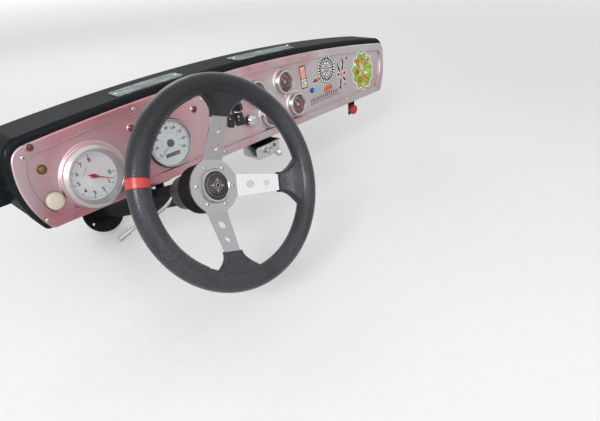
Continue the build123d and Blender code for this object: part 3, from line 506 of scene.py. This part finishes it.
NEEDLE_WHITE = plastic("needle_white", (0.78, 0.78, 0.76), 0.40)
TACH_WHITE = dial_paper("tach_white", (0.88, 0.84, 0.88), (0.80, 0.85, 0.86), -0.100, -0.045)
SPEEDO_WHITE = dial_paper("speedometer_white", (0.78, 0.83, 0.88), (0.78, 0.86, 0.86), -0.090, -0.030)
# A dark dial; its red tint is a painted reflection of red surroundings.
DARK_DIAL = plastic("dial_dark", (0.15, 0.022, 0.026), 0.24, 900.0, 0.03)
INK = printed("dial_ink", (0.035, 0.035, 0.05))
RED_INK = printed("red_ink", (0.55, 0.05, 0.06))
WINDOW = printed("window", (0.10, 0.085, 0.08), 0.25)
THREAD = plastic("thread", (0.030, 0.030, 0.034), 0.62, 900.0, 0.3, 0.2)
RED_DARK = plastic("red_dark", (0.17, 0.012, 0.016), 0.34, 700.0, 0.2, 0.4)
OLIVE = plastic("olive", (0.055, 0.050, 0.014), 0.34, 500.0, 0.1, 0.4)
GREY_INK = printed("grey_ink", (0.20, 0.19, 0.20), 0.30)
ROSE_INK = printed("rose_ink", (0.42, 0.30, 0.31), 0.30)
PALE_INK = printed("pale_ink", (0.62, 0.56, 0.50))
GREEN_INK = printed("green_ink", (0.05, 0.30, 0.10))
WINDOW_RED = printed("window_red", (0.45, 0.10, 0.10), 0.25)

# The looks of the solids, by the name of the material that each has in the part's source
DRESS = {
    "panel_aluminium": PANEL, "spider_aluminium": SPIDER, "chrome": CHROME, "can": STEEL, "steel": STEEL,
    "brass": BRASS, "leather": LEATHER, "red_leather": RED_LEATHER, "pan_paint": PAN, "column_paint": COLUMN,
    "black_rubber": RUBBER, "boss_rubber": BOSS, "black_gloss": GLOSS, "black_plastic": BLACK, "cream": CREAM,
    "red_plastic": RED, "red_lens": RED_LENS, "amber_lens": AMBER_LENS, "clear_glass": GLASS, "strip": STRIP,
    "needle_red": NEEDLE_RED, "needle_grey": NEEDLE_GREY, "needle_white": NEEDLE_WHITE,
    "dial_white": TACH_WHITE, "dial_dark": DARK_DIAL,
}

# Nodes with a look of their own
OWN_LOOK = {
    "speedometer_dial": SPEEDO_WHITE, "tach_housing": BRIGHT, "speedometer_housing": BRIGHT,
    "small_gauge_housings": BRIGHT,
}


def dress_solids():
    for name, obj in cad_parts.items():
        for index, old in enumerate(obj.data.materials):
            obj.data.materials[index] = OWN_LOOK.get(name) or DRESS[old.name.split(".")[0]]


dress_solids()


# Outlines on a plane, as lists of points

def steps_round(count):
    """The angles of even steps round a whole turn, in radians."""
    return [2 * math.pi * i / count for i in range(count)]


def polar(radius, angle):
    return radius * math.cos(math.radians(angle)), radius * math.sin(math.radians(angle))


def box(x0, y0, x1, y1):
    return [(x0, y0), (x1, y0), (x1, y1), (x0, y1)]


def petal(length, wide, count=14):
    """From (0, 0) to (length, 0), widest before its middle."""
    shares = [i / count for i in range(1, count)]
    upper = [(length * t, wide / 2 * math.sin(math.pi * t ** 0.8)) for t in shares]
    return [(0.0, 0.0)] + upper + [(length, 0.0)] + [(x, -y) for x, y in reversed(upper)]


def oval(rx, ry, count=40, wave=0.0, lobes=0, phase=0.0):
    """An ellipse, with a waved edge where it has lobes."""
    points = []
    for a in steps_round(count):
        k = 1.0 + wave * math.sin(lobes * a + phase)
        points.append((rx * k * math.cos(a), ry * k * math.sin(a)))
    return points


def moved(points, x, y, turn=0.0):
    c, s = polar(1.0, turn)
    return [(x + c * px - s * py, y + s * px + c * py) for px, py in points]


# Shapes, added to a mesh that a piece is then made of

def in_pairs(loops, closed):
    """Each loop with the next one, and the last with the first where they close."""
    return list(zip(loops, loops[1:] + (loops[:1] if closed else [])))


def lathe(bm, profile, place, steps, index=0):
    """Turns (radius, height) points about the place's Z. A zero radius closes the end."""
    rings = []
    for radius, height in profile:
        turns = steps_round(steps) if radius else [0.0]
        rings.append([bm.verts.new((radius * MM * math.cos(a), radius * MM * math.sin(a), height * MM))
                      for a in turns])
    for low, high in in_pairs(rings, False):
        for i in range(steps):
            j = (i + 1) % steps
            corners = (low[i], low[j], high[0]) if len(high) == 1 else (low[i], low[j], high[j], high[i])
            bm.faces.new(corners).material_index = index
    bmesh.ops.transform(bm, matrix=place, verts=[v for ring in rings for v in ring])


def tube(bm, points, radius, sides=8, closed=False, index=0):
    """A round tube along points in the object's frame. The radius is one, or one for each point."""
    last = len(points) - 1
    radii = radius if isinstance(radius, list) else [radius] * len(points)
    rings = []
    up = None
    for i, (p, r) in enumerate(zip(points, radii)):
        before = points[i - 1] if i or closed else p
        after = points[(i + 1) % len(points)] if i < last or closed else p
        ahead = (after - before).normalized()
        if up is None:
            up = ahead.orthogonal().normalized()
        up = (up - ahead * up.dot(ahead)).normalized()
        side = ahead.cross(up)
        rings.append([bm.verts.new(p + (up * math.cos(a) + side * math.sin(a)) * r * MM)
                      for a in steps_round(sides)])
    for a, b in in_pairs(rings, closed):
        for j in range(sides):
            k = (j + 1) % sides
            bm.faces.new((a[j], a[k], b[k], b[j])).material_index = index
    if not closed:
        bm.faces.new(rings[0][::-1]).material_index = index
        bm.faces.new(rings[-1]).material_index = index


def flat_patch(bm, points, place, index=0, thick=PRINT_THICK):
    """A thin print in an outline on the local plane: its top and its sides."""
    top = [bm.verts.new((x * MM, y * MM, thick * MM)) for x, y in points]
    low = [bm.verts.new((x * MM, y * MM, 0)) for x, y in points]
    bm.faces.new(top).material_index = index
    for i in range(len(points)):
        j = (i + 1) % len(points)
        bm.faces.new((low[i], low[j], top[j], top[i])).material_index = index
    bmesh.ops.transform(bm, matrix=place, verts=top + low)


def ring_patch(bm, inner, outer, place, start=0.0, end=360.0, index=0, thick=PRINT_THICK, steps=96):
    """A thin printed ring or arc about the local origin."""
    whole = end - start >= 360.0
    count = int(steps * (end - start) / 360.0)
    loops = []
    for i in range(count if whole else count + 1):
        c, s = polar(MM, start + (end - start) * i / count)
        corners = ((inner, 0), (inner, thick * MM), (outer, thick * MM), (outer, 0))
        loops.append([bm.verts.new((r * c, r * s, z)) for r, z in corners])
    for a, b in in_pairs(loops, whole):
        for i in range(3):
            bm.faces.new((a[i], a[i + 1], b[i + 1], b[i])).material_index = index
    bmesh.ops.transform(bm, matrix=place, verts=[v for loop in loops for v in loop])


def tick(bm, inner, outer, width, angle, place, index=0):
    """A straight mark of a scale, from the inner to the outer radius."""
    flat_patch(bm, moved(box(inner, -width / 2, outer, width / 2), 0, 0, angle), place, index)


def numeral(bm, text, x, y, high, place, bold, lean=0.0):
    """A plain number, raised a little, its middle at x, y on the local plane."""
    digit_share = 0.70   # a digit's height in the font, as a share of the font's size
    curve = bpy.data.curves.new("numeral", "FONT")
    curve.body = text
    curve.size = high * MM / digit_share
    curve.align_x, curve.align_y = "CENTER", "CENTER"
    curve.extrude = PRINT_THICK * MM
    curve.resolution_u = 3
    curve.offset = bold * MM
    writing = bpy.data.objects.new("numeral", curve)
    bpy.context.scene.collection.objects.link(writing)
    bpy.context.view_layer.update()
    mesh = bpy.data.meshes.new_from_object(writing.evaluated_get(bpy.context.evaluated_depsgraph_get()))
    xs = [v.co.x for v in mesh.vertices]
    ys = [v.co.y for v in mesh.vertices]
    centre = Vector(((min(xs) + max(xs)) / 2, (min(ys) + max(ys)) / 2, 0))
    for v in mesh.vertices:
        v.co -= centre
    turned = Matrix.Rotation(math.radians(lean), 4, "Z")
    mesh.transform(place @ Matrix.Translation((x * MM, y * MM, 0)) @ turned)
    bm.from_mesh(mesh)
    bpy.data.objects.remove(writing)
    bpy.data.curves.remove(curve)
    bpy.data.meshes.remove(mesh)


def button_screw(bm, place, radius, high, socket):
    """A domed head with a six-sided socket, whose inside has the piece's second look."""
    sides, shoulder, lip, chamfer, deep = 28, 0.35, 0.15, 0.1, 1.2
    dome = [(radius, -0.3), (radius, shoulder)]
    for step in range(1, 7):
        out, up = polar(1.0, 15 * step)
        dome.append((max(socket + (radius - socket) * out, socket + lip), shoulder + (high - shoulder) * up))
    lathe(bm, dome, place, sides)
    loops = [[], [], []]
    for a in steps_round(sides):
        within = (a + math.pi / 6) % (math.pi / 3) - math.pi / 6
        r = socket * math.cos(math.pi / 6) / math.cos(within)
        for loop, out, drop in zip(loops, (socket + lip, r, r), (0.0, chamfer, deep)):
            loop.append(bm.verts.new((out * MM * math.cos(a), out * MM * math.sin(a), (high - drop) * MM)))
    for index, (above, below) in enumerate(in_pairs(loops, False)):
        for i in range(sides):
            j = (i + 1) % sides
            bm.faces.new((above[i], above[j], below[j], below[i])).material_index = index
    bm.faces.new(loops[-1]).material_index = 1
    bmesh.ops.transform(bm, matrix=place, verts=[v for loop in loops for v in loop])


def add_piece(name, bm, looks, body, smooth=True):
    """Makes the mesh a piece of its own. Edges over the sharp angle stay crisp."""
    bmesh.ops.recalc_face_normals(bm, faces=bm.faces[:])
    bm.normal_update()
    for edge in bm.edges:
        if len(edge.link_faces) == 2 and edge.calc_face_angle(0.0) > math.radians(SHARP):
            edge.smooth = False
    if smooth:
        for face in bm.faces:
            face.smooth = True
    mesh = bpy.data.meshes.new(name)
    bm.to_mesh(mesh)
    bm.free()
    for look in looks:
        mesh.materials.append(look)
    obj = bpy.data.objects.new(name, mesh)
    bpy.context.scene.collection.objects.link(obj)
    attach(obj, body)


# Prints on the dials

def add_marks(bm, face, angles, parts, half, short, edge, red_from=math.inf):
    """Fine marks between the numbers, the halfway one longer, and red from a number on if given."""
    for n, (here, then) in enumerate(zip(angles, angles[1:])):
        for part in range(1, parts):
            start, width = (half, 0.6) if 2 * part == parts else (short, 0.4)
            tick(bm, start, edge, width, here + (then - here) * part / parts, face, int(n >= red_from))


def make_tach_print():
    """The numbers 0 to 8 with their marks, red from 6 on, and a fine slanting line."""
    bm = bmesh.new()
    face = on_panel(*TACH, DIAL_LEVEL["tach"])
    edge, red_from = 41.4, 6
    for n, angle in enumerate(TACH_ANGLES):
        numeral(bm, str(n), *polar(30.5, angle), 7.4, face, 0.32, lean=12.0)
        tick(bm, 35.6, edge, 1.2, angle, face, int(n >= red_from))
    add_marks(bm, face, TACH_ANGLES, 10, 37.8, 39.4, edge, red_from)
    slanting_line = [(-19.6, 4.6), (-19.1, 4.1), (-7.1, 19.1), (-7.6, 19.6)]
    flat_patch(bm, slanting_line, face)
    add_piece("tach_print", bm, [INK, RED_INK], "dashboard", smooth=False)


make_tach_print()


def make_speedometer_print():
    """The numbers 0 to 160 with their marks, a small bar inside each, and the scale's edge."""
    bm = bmesh.new()
    face = on_panel(*SPEEDO, DIAL_LEVEL["speedometer"])
    edge = 42.5
    for n, angle in enumerate(SPEEDO_ANGLES):
        numeral(bm, str(20 * n), *polar(31.5 if n else 32.5, angle), 5.4, face, 0.2)
        tick(bm, 38.0, edge, 1.1, angle, face)
        flat_patch(bm, moved(box(-1.3, -0.5, 1.3, 0.5), *polar(20.0, angle)), face)
    add_marks(bm, face, SPEEDO_ANGLES, 4, 39.0, 40.6, edge)
    ring_patch(bm, 42.6, 43.0, face, SPEEDO_ANGLES[-1], SPEEDO_ANGLES[0])
    add_piece("speedometer_print", bm, [INK], "dashboard", smooth=False)


make_speedometer_print()


def make_window():
    """The speedometer's dark counter window with its frame, and the counter's drums."""
    bm = bmesh.new()
    face = on_panel(SPEEDO[0] - 0.5, SPEEDO[1] - 23.0, DIAL_LEVEL["speedometer"])
    wide, high, rim = 16.6, 3.8, 1.3
    sides = (box(-wide, -high, wide, rim - high), box(-wide, high - rim, wide, high),
             box(-wide, rim - high, rim - wide, high - rim), box(wide - rim, rim - high, wide, high - rim))
    for side in sides:
        flat_patch(bm, side, face, 0, 0.55)
    drums, red_from = 6, 4
    inner = wide - rim - 0.2
    step = 2 * inner / drums
    for i in range(drums):
        x = -inner + step * i
        flat_patch(bm, box(x, rim - high, x + step - 0.25, high - rim), face, 2 if i >= red_from else 1, 0.2)
    add_piece("speedometer_window", bm, [INK, WINDOW, WINDOW_RED], "dashboard", smooth=False)


make_window()


def make_small_prints():
    """Scales on the small dials: pale marks, a red end, a green field and a dark edge."""
    bm = bmesh.new()
    ink, pale, red, green, window = range(5)
    rings = ((19.6, 20.8, 0, 360, ink), (14.0, 14.6, -40, 220, pale), (16.4, 18.6, -38, 2, red),
             (16.4, 18.6, 62, 104, green))
    for x, s in SMALL:
        face = on_panel(x, s, DIAL_LEVEL["small"])
        for inner, outer, start, end, index in rings:
            ring_patch(bm, inner, outer, face, start, end, index, steps=72)
        for n in range(13):
            edge, width = (18.6, 0.8) if n % 3 == 0 else (17.0, 0.45)
            tick(bm, 14.6, edge, width, -40.0 + 260.0 * n / 12, face, pale)
        flat_patch(bm, box(-4.6, -12.6, 4.6, -9.4), face, window)
    add_piece("small_gauge_prints", bm, [INK, PALE_INK, RED_INK, GREEN_INK, WINDOW], "dashboard",
              smooth=False)


make_small_prints()


# Screws

def make_panel_screws():
    bm = bmesh.new()
    for i, (x, s) in enumerate(BORDER_SCREWS):
        button_screw(bm, on_panel(x, s, turn=37.0 * i), radius=3.9, high=2.0, socket=1.5)
    add_piece("panel_screws", bm, [STEEL, INK], "dashboard")


make_panel_screws()


def make_hub_screws():
    bm = bmesh.new()
    for i in range(6):
        place = on_column(HUB_DISH, TURN + 30.0 + 60.0 * i, HUB_SCREWS_R)
        button_screw(bm, place, radius=3.7, high=1.9, socket=1.5)
    add_piece("hub_screws", bm, [BRIGHT, INK], "steering")


make_hub_screws()


def make_strip_screws():
    bm = bmesh.new()
    for at in STRIP_SCREWS:
        button_screw(bm, frame_at(at, (1, 0, 0), (0, 0, 1)), radius=3.6, high=1.8, socket=1.3)
    add_piece("strip_screws", bm, [CHROME, INK], "dashboard")


make_strip_screws()


# The wheel's trim

def on_rim(turn, around, lift):
    """A point on the grip: turn is round the wheel, and around is round the grip from its inner side."""
    a, b = math.radians(turn), math.radians(around)
    r = RIM_R - (GRIP_R + lift) * math.cos(b)
    return on_column(0.0) @ (Vector((r * math.cos(a), r * math.sin(a), (GRIP_R + lift) * math.sin(b))) * MM)


def from_turn(angle, other):
    return abs((angle - other + 180.0) % 360.0 - 180.0)


def is_clear(turn, of_spokes, of_band):
    """Whether this turn of the rim is as many degrees away from each spoke and from the band."""
    nearest = min(from_turn(turn, spoke) for spoke in SPOKE_TURNS)
    return nearest > of_spokes and from_turn(turn, BAND_TURN) > of_band


def make_rim_seam():
    """The cover's sewn seam round the rim's inner side, in stretches between the spokes."""
    bm = bmesh.new()
    turns = [0.5 * i for i in range(720)]
    gap = next(i for i, turn in enumerate(turns) if not is_clear(turn, *WELT_CLEAR))
    stretch = []
    for turn in turns[gap:] + turns[:gap + 1]:
        if is_clear(turn, *WELT_CLEAR):
            stretch.append(turn)
        elif stretch:
            for side in (-SEAM_HALF, SEAM_HALF):
                tube(bm, [on_rim(t, SEAM_AT + side, 0.10) for t in stretch], 0.75, sides=6)
            stretch = []
    for i in range(int(360 / STITCH_STEP)):
        if is_clear(STITCH_STEP * i, *STITCH_CLEAR):
            thread = []
            for along in (0.0, 1 / 3, 2 / 3, 1.0):
                turn = STITCH_STEP * i + 0.55 * along
                around = SEAM_AT + STITCH_HALF * (2 * along - 1)
                thread.append(on_rim(turn, around, 0.55 + 0.35 * math.sin(math.pi * along)))
            tube(bm, thread, [0.28, 0.42, 0.42, 0.28], sides=5, index=1)
    add_piece("rim_seam", bm, [LEATHER, THREAD], "steering")


make_rim_seam()


def make_sleeve_ends():
    """A rolled edge where the leather ends on each spoke."""
    bm = bmesh.new()
    for turn in SPOKE_TURNS:
        loop = []
        for side, front, start in ((1, 1, 0), (-1, 1, 90), (-1, -1, 180), (1, -1, 270)):
            for step in range(7):
                y, z = polar(SLEEVE_CORNER, start + 15 * step)
                y += side * (SLEEVE_WIDE / 2 - SLEEVE_CORNER)
                z += front * (SLEEVE_THICK / 2 - SLEEVE_CORNER)
                loop.append(on_column(SLEEVE_DEPTH, turn) @ (Vector((SLEEVE_AT, y, z)) * MM))
        tube(bm, loop, 0.95, closed=True)
    add_piece("sleeve_ends", bm, [LEATHER], "steering")


make_sleeve_ends()


def make_band_edges():
    """Welts where the red band meets the black cover."""
    bm = bmesh.new()
    half = math.degrees(BAND_WIDE / 2 / RIM_R)
    for turn in (BAND_TURN - half, BAND_TURN + half):
        tube(bm, [on_rim(turn, 180.0 - math.degrees(a), 0.1) for a in steps_round(40)], 0.8, closed=True)
    add_piece("band_edges", bm, [RED_DARK], "steering")


make_band_edges()


def make_button_rings():
    """Fine rings near the button's edge and a plain rosette at its middle, raised onto its dome."""
    bm = bmesh.new()
    flat = Matrix.Identity(4)
    thick, above_dome = 0.10, 0.06
    black, grey, rose = range(3)
    rings = ((21.6, 22.3, black, 96), (19.6, 20.0, grey, 96), (18.4, 18.7, grey, 96), (13.6, 14.0, grey, 64),
             (3.1, 4.3, rose, 64))
    for inner, outer, index, steps in rings:
        ring_patch(bm, inner, outer, flat, index=index, thick=thick, steps=steps)
    for i in range(12):
        wide, far, index = (1.7, 12.6, rose) if i % 3 == 0 else (1.1, 10.6, grey)
        side = [(5.6, 0.35), (7.6, 0.8 * wide), (9.4, wide), (far, 0.25)]
        leaf = side + [(x, -y) for x, y in reversed(side)]
        flat_patch(bm, moved(leaf, 0, 0, 30.0 * i), flat, index, thick)
    ball = (BUTTON_SPAN ** 2 + BUTTON_DOME ** 2) / (2 * BUTTON_DOME)
    for vert in bm.verts:
        r = min(math.hypot(vert.co.x, vert.co.y) / MM, BUTTON_SPAN)
        vert.co.z += (math.sqrt(ball * ball - r * r) - (ball - BUTTON_DOME) + above_dome) * MM
    bm.transform(on_column(BUTTON_EDGE, TURN))
    add_piece("button_rings", bm, [GLOSS, GREY_INK, ROSE_INK], "steering", smooth=False)


make_button_rings()


# Small fittings on the panel

def make_lamp_rings():
    """Bezels round the lamps, and a small light dot on the recess."""
    bm = bmesh.new()
    bright, olive = range(2)
    bezels = [(*spot, RECESS, 7.1, 8.9, bright) for spot in RED_LAMPS]
    bezels += [(*AMBER_LAMP, RECESS, 6.1, 8.2, olive), (*CORNER_LAMP, 0.0, 5.6, 7.0, bright)]
    for x, s, out, inner, outer, index in bezels:
        inside = [(inner, 0.05), (inner, 1.5), (inner + 0.5, 1.9)]
        outside = [(outer - 0.6, 1.6), (outer, 0.7), (outer, 0.05)]
        lathe(bm, inside + outside, on_panel(x, s, out), steps=40, index=index)
    dot = [(4.0, 0.05), (4.0, 0.6), (3.2, 1.1), (0.0, 1.3)]
    lathe(bm, dot, on_panel(*LIGHT_DOT, RECESS), steps=28, index=bright)
    add_piece("lamp_rings", bm, [BRIGHT, OLIVE], "dashboard")


make_lamp_rings()


def make_key_details():
    """The key's ring in bright wire, and round studs on the two fobs."""
    bm = bmesh.new()
    x, s = LOCK[0], LOCK[1] - RING_DROP
    tilted = on_panel(x, s, RING_OUT) @ Matrix.Rotation(math.radians(RING_TILT - 90.0), 4, "X")
    loop = [tilted @ (Vector((math.cos(a), math.sin(a), 0.0)) * RING_R * MM) for a in steps_round(64)]
    tube(bm, loop, 1.08, sides=10, closed=True)
    right, left = on_panel(x + FOB_ASIDE, s, RING_OUT), on_panel(x - FOB_ASIDE, s, RING_OUT)
    for fob, aside, drop, out, r in ((right, -6.3, 15.0, 4.5, 2.0), (right, -6.8, 22.5, 4.5, 1.3),
                                     (left, -9.2, 14.0, 3.5, 1.6)):
        place = (fob @ Matrix.Rotation(math.radians(FOB_TURN), 4, "Y")
                 @ Matrix.Translation((aside * MM, -drop * MM, out * MM)))
        lathe(bm, [(r, 0.05), (r, 0.5), (0.7 * r, 0.9), (0.0, 1.0)], place, steps=24, index=1)
    add_piece("key_details", bm, [STEEL, CREAM], "dashboard")


make_key_details()


# Plain painted motifs on the panel's right half, of made-up shapes

# Each colour with its roughness
MOTIF_COLOURS = {
    "white": ((0.80, 0.79, 0.76), 0.35),
    "black": ((0.012, 0.012, 0.016), 0.32),
    "green": ((0.10, 0.38, 0.045), 0.34),
    "yellow": ((0.74, 0.55, 0.07), 0.34),
    "red": ((0.58, 0.045, 0.035), 0.34),
    "pink": ((0.80, 0.42, 0.38), 0.36),
    "blue": ((0.02, 0.06, 0.22), 0.32),
    "cyan": ((0.12, 0.46, 0.68), 0.34),
    "orange": ((0.70, 0.20, 0.05), 0.34),
    "brown": ((0.16, 0.05, 0.04), 0.36),
    "leaf": ((0.22, 0.46, 0.06), 0.36),
}
COLOUR_INDEX = {name: index for index, name in enumerate(MOTIF_COLOURS)}


def put(bm, points, x, s, colour, layer=1, turn=0.0):
    """An outline in one colour on the recess. A higher layer lies over the lower ones."""
    flat_patch(bm, moved(points, 0, 0, turn), on_panel(x, s, RECESS), COLOUR_INDEX[colour], LAYER * layer)


def add_windows(bm):
    """A framed pair of windows."""
    x, s = 168.5, 109.0
    put(bm, box(-11.5, -28, 11.5, 28), x, s, "black", 1)
    put(bm, box(-10.3, -26.8, 10.3, 26.8), x, s, "brown", 2)
    put(bm, box(-8.6, -3.0, 8.6, 24.8), x, s, "pink", 3)
    put(bm, box(-8.6, -24.8, 8.6, -5.4), x, s, "white", 3)
    for aside, high in ((-4.8, 21), (0.0, 16), (4.8, 21)):
        put(bm, box(-0.7, 0, 0.7, high), x + aside, s, "red", 4)
    put(bm, box(-7, -1.0, 7, 1.0), x, s - 10.0, "black", 4)
    put(bm, box(-7, -1.4, 2, 1.4), x, s - 14.6, "blue", 4)
    put(bm, box(-7, -1.9, 7, 1.9), x, s - 20.4, "green", 4)


def add_round(bm):
    """A round of striped petals."""
    x, s = 262.0, 110.5
    put(bm, oval(37.5, 36.5, 72), x, s, "black", 1)
    put(bm, oval(35.8, 34.8, 72), x, s, "white", 2)
    wreaths = ((26, 21.0, 14.5, 5.4, 0), (9, 13.6, 4.4, 3.4, 0), (9, 4.0, 7.4, 4.0, 12))
    for count, inner, length, wide, start in wreaths:
        for i in range(count):
            put(bm, moved(petal(length, wide), inner, 0), x, s, "black", 3, 360.0 * i / count + start)
    for inner, outer in ((18.0, 20.6), (11.4, 13.2)):
        face = on_panel(x, s, RECESS)
        ring_patch(bm, inner, outer, face, index=COLOUR_INDEX["black"], thick=3 * LAYER, steps=72)
    put(bm, oval(2.6, 2.6, 20), x, s, "black", 3)


def add_twig(bm):
    """A tall twig of black leaves round a pink flower."""
    x, s = 322.0, 84.0
    for aside, up, turn, long in ((2, 7, 58, 27), (-4, 6, 112, 30), (7, 0, 14, 17), (-7, 1, 170, 16),
                                  (4, -6, -48, 24), (-3, -7, -104, 32), (8, 22, 66, 17), (-8, -24, 236, 15)):
        put(bm, moved(petal(long, 12.0), aside, up, turn), x, s, "white", 1)
        put(bm, moved(petal(long - 4.0, 8.0), 1.15 * aside, 1.15 * up, turn), x, s, "black", 2)
    for aside, up in ((9, 38), (-10, -36), (11, -30), (-11, 30)):
        put(bm, moved(oval(2.2, 2.6, 18), aside, up), x, s, "black", 1)
    put(bm, oval(8.6, 8.6, 40, 0.16, 5), x, s, "pink", 3)
    put(bm, oval(5.0, 5.0, 32, 0.14, 5, 1.0), x, s, "red", 4)
    put(bm, oval(1.9, 1.9, 18), x, s, "white", 5)


def add_spray(bm):
    """A tall spray of leaves and flowers with a white edge."""
    x, s = 421.0, 73.0
    put(bm, oval(50, 52, 96, 0.07, 11, 0.8), x, s, "white", 1)
    put(bm, oval(46, 48, 96, 0.08, 11, 0.8), x, s, "black", 2)
    put(bm, oval(44.8, 46.8, 96, 0.08, 11, 0.8), x, s, "leaf", 3)
    leaf_colours = ("green", "yellow", "green", "white", "leaf", "orange")
    for i in range(24):
        turn = 15.0 * i + 7
        aside, up = polar(19 + 12 * math.sin(2.3 * i), turn)
        leaf = moved(petal(17, 8.5), aside, 1.05 * up, turn + 24 * math.sin(i))
        put(bm, leaf, x, s, leaf_colours[i % 6], 4 + 0.2 * (i % 3))
    petal_colours = ("red", "orange", "red", "yellow", "red", "pink")
    flowers = ((-20, 27, 9.5), (3, 33, 9.0), (23, 22, 8.5), (26, -4, 8.5), (-26, 2, 8.0), (-2, 9, 10.5),
               (-17, -22, 11.0), (7, -18, 8.0), (17, -30, 8.0), (-4, -38, 7.0))
    for i, (aside, up, r) in enumerate(flowers):
        for j in range(6):
            shape = moved(moved(petal(r, 0.74 * r), 0.8, 0), 0, 0, 60.0 * j + 17 * i)
            put(bm, moved(shape, aside, up), x, s, petal_colours[i % 6], 5)
        put(bm, moved(oval(0.28 * r, 0.28 * r, 18), aside, up), x, s, ("yellow", "brown", "white")[i % 3], 6)


def add_small_marks(bm):
    """Small marks between the motifs: ovals, petals, dots and a row of bars."""
    put(bm, oval(3.4, 3.4, 20), 353, 122, "black")
    put(bm, oval(19.0, 6.4, 44, 0.10, 7), 218, 91.5, "white", 1, 8)
    put(bm, oval(17.5, 5.0, 44, 0.12, 7), 218, 91.5, "brown", 2, 8)
    put(bm, moved(petal(17, 5.4), -2, 0), 218, 91.5, "orange", 3, 14)
    put(bm, petal(24, 14), 184, 70.5, "blue", 1, -4)
    put(bm, petal(23, 8), 198, 69.5, "cyan", 2, -8)
    for i in range(3):
        put(bm, oval(2.0, 2.8, 20), 219 + 4.6 * i, 66.5 - 1.4 * i, "cyan")
    put(bm, oval(17.5, 9.0, 56, 0.10, 8), 259, 60, "brown", 1, 6)
    put(bm, oval(15.5, 7.2, 56, 0.10, 8), 259, 60, "orange", 2, 6)
    for i in range(4):
        put(bm, oval(2.4, 2.4, 18), 250 + 6.0 * i, 60.0 + 1.6 * (i % 2), ("brown", "black")[i % 2], 3)
    for i in range(14):
        high = 8.5 + 2.0 * (i % 2)
        put(bm, [(0, 0), (3.2, 0), (5.4, high), (2.2, high)], 184 + 8.3 * i, 39.0 + 0.25 * i, "black")
    put(bm, [(-3, 0), (116, 3.0), (116, 4.6), (-3, 1.6)], 184, 34.5, "brown")


def make_motifs():
    bm = bmesh.new()
    add_windows(bm)
    add_round(bm)
    add_twig(bm)
    add_spray(bm)
    add_small_marks(bm)
    looks = [printed("motif_" + name, colour, rough) for name, (colour, rough) in MOTIF_COLOURS.items()]
    add_piece("panel_motifs", bm, looks, "dashboard", smooth=False)


make_motifs()


# Floor, world and lamps

def make_floor():
    """A pale floor. To the camera it grows white with the distance from the part."""
    level = cad_box[0][2] - FLOOR_DROP
    bm = bmesh.new()
    corners = box(-FLOOR_HALF, -FLOOR_HALF, FLOOR_HALF, FLOOR_HALF)
    bm.faces.new([bm.verts.new((x, y, level)) for x, y in corners])
    mesh = bpy.data.meshes.new("floor")
    bm.to_mesh(mesh)
    bm.free()
    floor = bpy.data.objects.new("floor", mesh)
    bpy.context.scene.collection.objects.link(floor)
    pale = (0.80, 0.80, 0.80)
    look = Look("floor", pale, 0.9, Specular_IOR_Level=0.2, Emission_Color=(1.0, 1.0, 1.0, 1.0))
    seen = look.node("ShaderNodeLightPath").outputs["Is Camera Ray"]
    far = look.spread(look.away((0.0, 0.0, 0.0)), 1.5, 9.0, 0.14, 0.56)
    look.join(look.times(seen, far), "Emission Strength")
    grain = look.noise(60.0, 3.0, 0.6)
    look.join(look.blend(look.spread(grain, 0.3, 0.7), pale, (0.78, 0.78, 0.78)), "Base Color")
    mesh.materials.append(look.mat)


def make_world():
    """A white world: half as strong for diffuse light as where it shows."""
    world = bpy.data.worlds.new("studio")
    bpy.context.scene.world = world
    world.use_nodes = True
    nodes, links = world.node_tree.nodes, world.node_tree.links
    background = nodes["Background"]
    background.inputs["Color"].default_value = (1.0, 1.0, 1.0, 1.0)
    ray = nodes.new("ShaderNodeLightPath")
    shows = ray.outputs["Is Camera Ray"]
    for kind in ("Is Glossy Ray", "Is Transmission Ray"):
        either = nodes.new("ShaderNodeMath")
        either.operation = "MAXIMUM"
        links.new(shows, either.inputs[0])
        links.new(ray.outputs[kind], either.inputs[1])
        shows = either.outputs[0]
    strength = nodes.new("ShaderNodeMapRange")
    strength.inputs["To Min"].default_value = 0.50
    strength.inputs["To Max"].default_value = 1.0
    links.new(shows, strength.inputs["Value"])
    links.new(strength.outputs["Result"], background.inputs["Strength"])


def make_lamps():
    for name, (at, aim, size, power) in LAMPS.items():
        data = bpy.data.lights.new(name, "AREA")
        data.size = size
        data.energy = power
        lamp = bpy.data.objects.new(name, data)
        facing = (Vector(aim) - Vector(at)).to_track_quat("-Z", "Y")
        lamp.matrix_world = Matrix.Translation(at) @ facing.to_matrix().to_4x4()
        bpy.context.scene.collection.objects.link(lamp)


make_floor()
make_world()
make_lamps()
bpy.context.scene.view_settings.view_transform = "Standard"
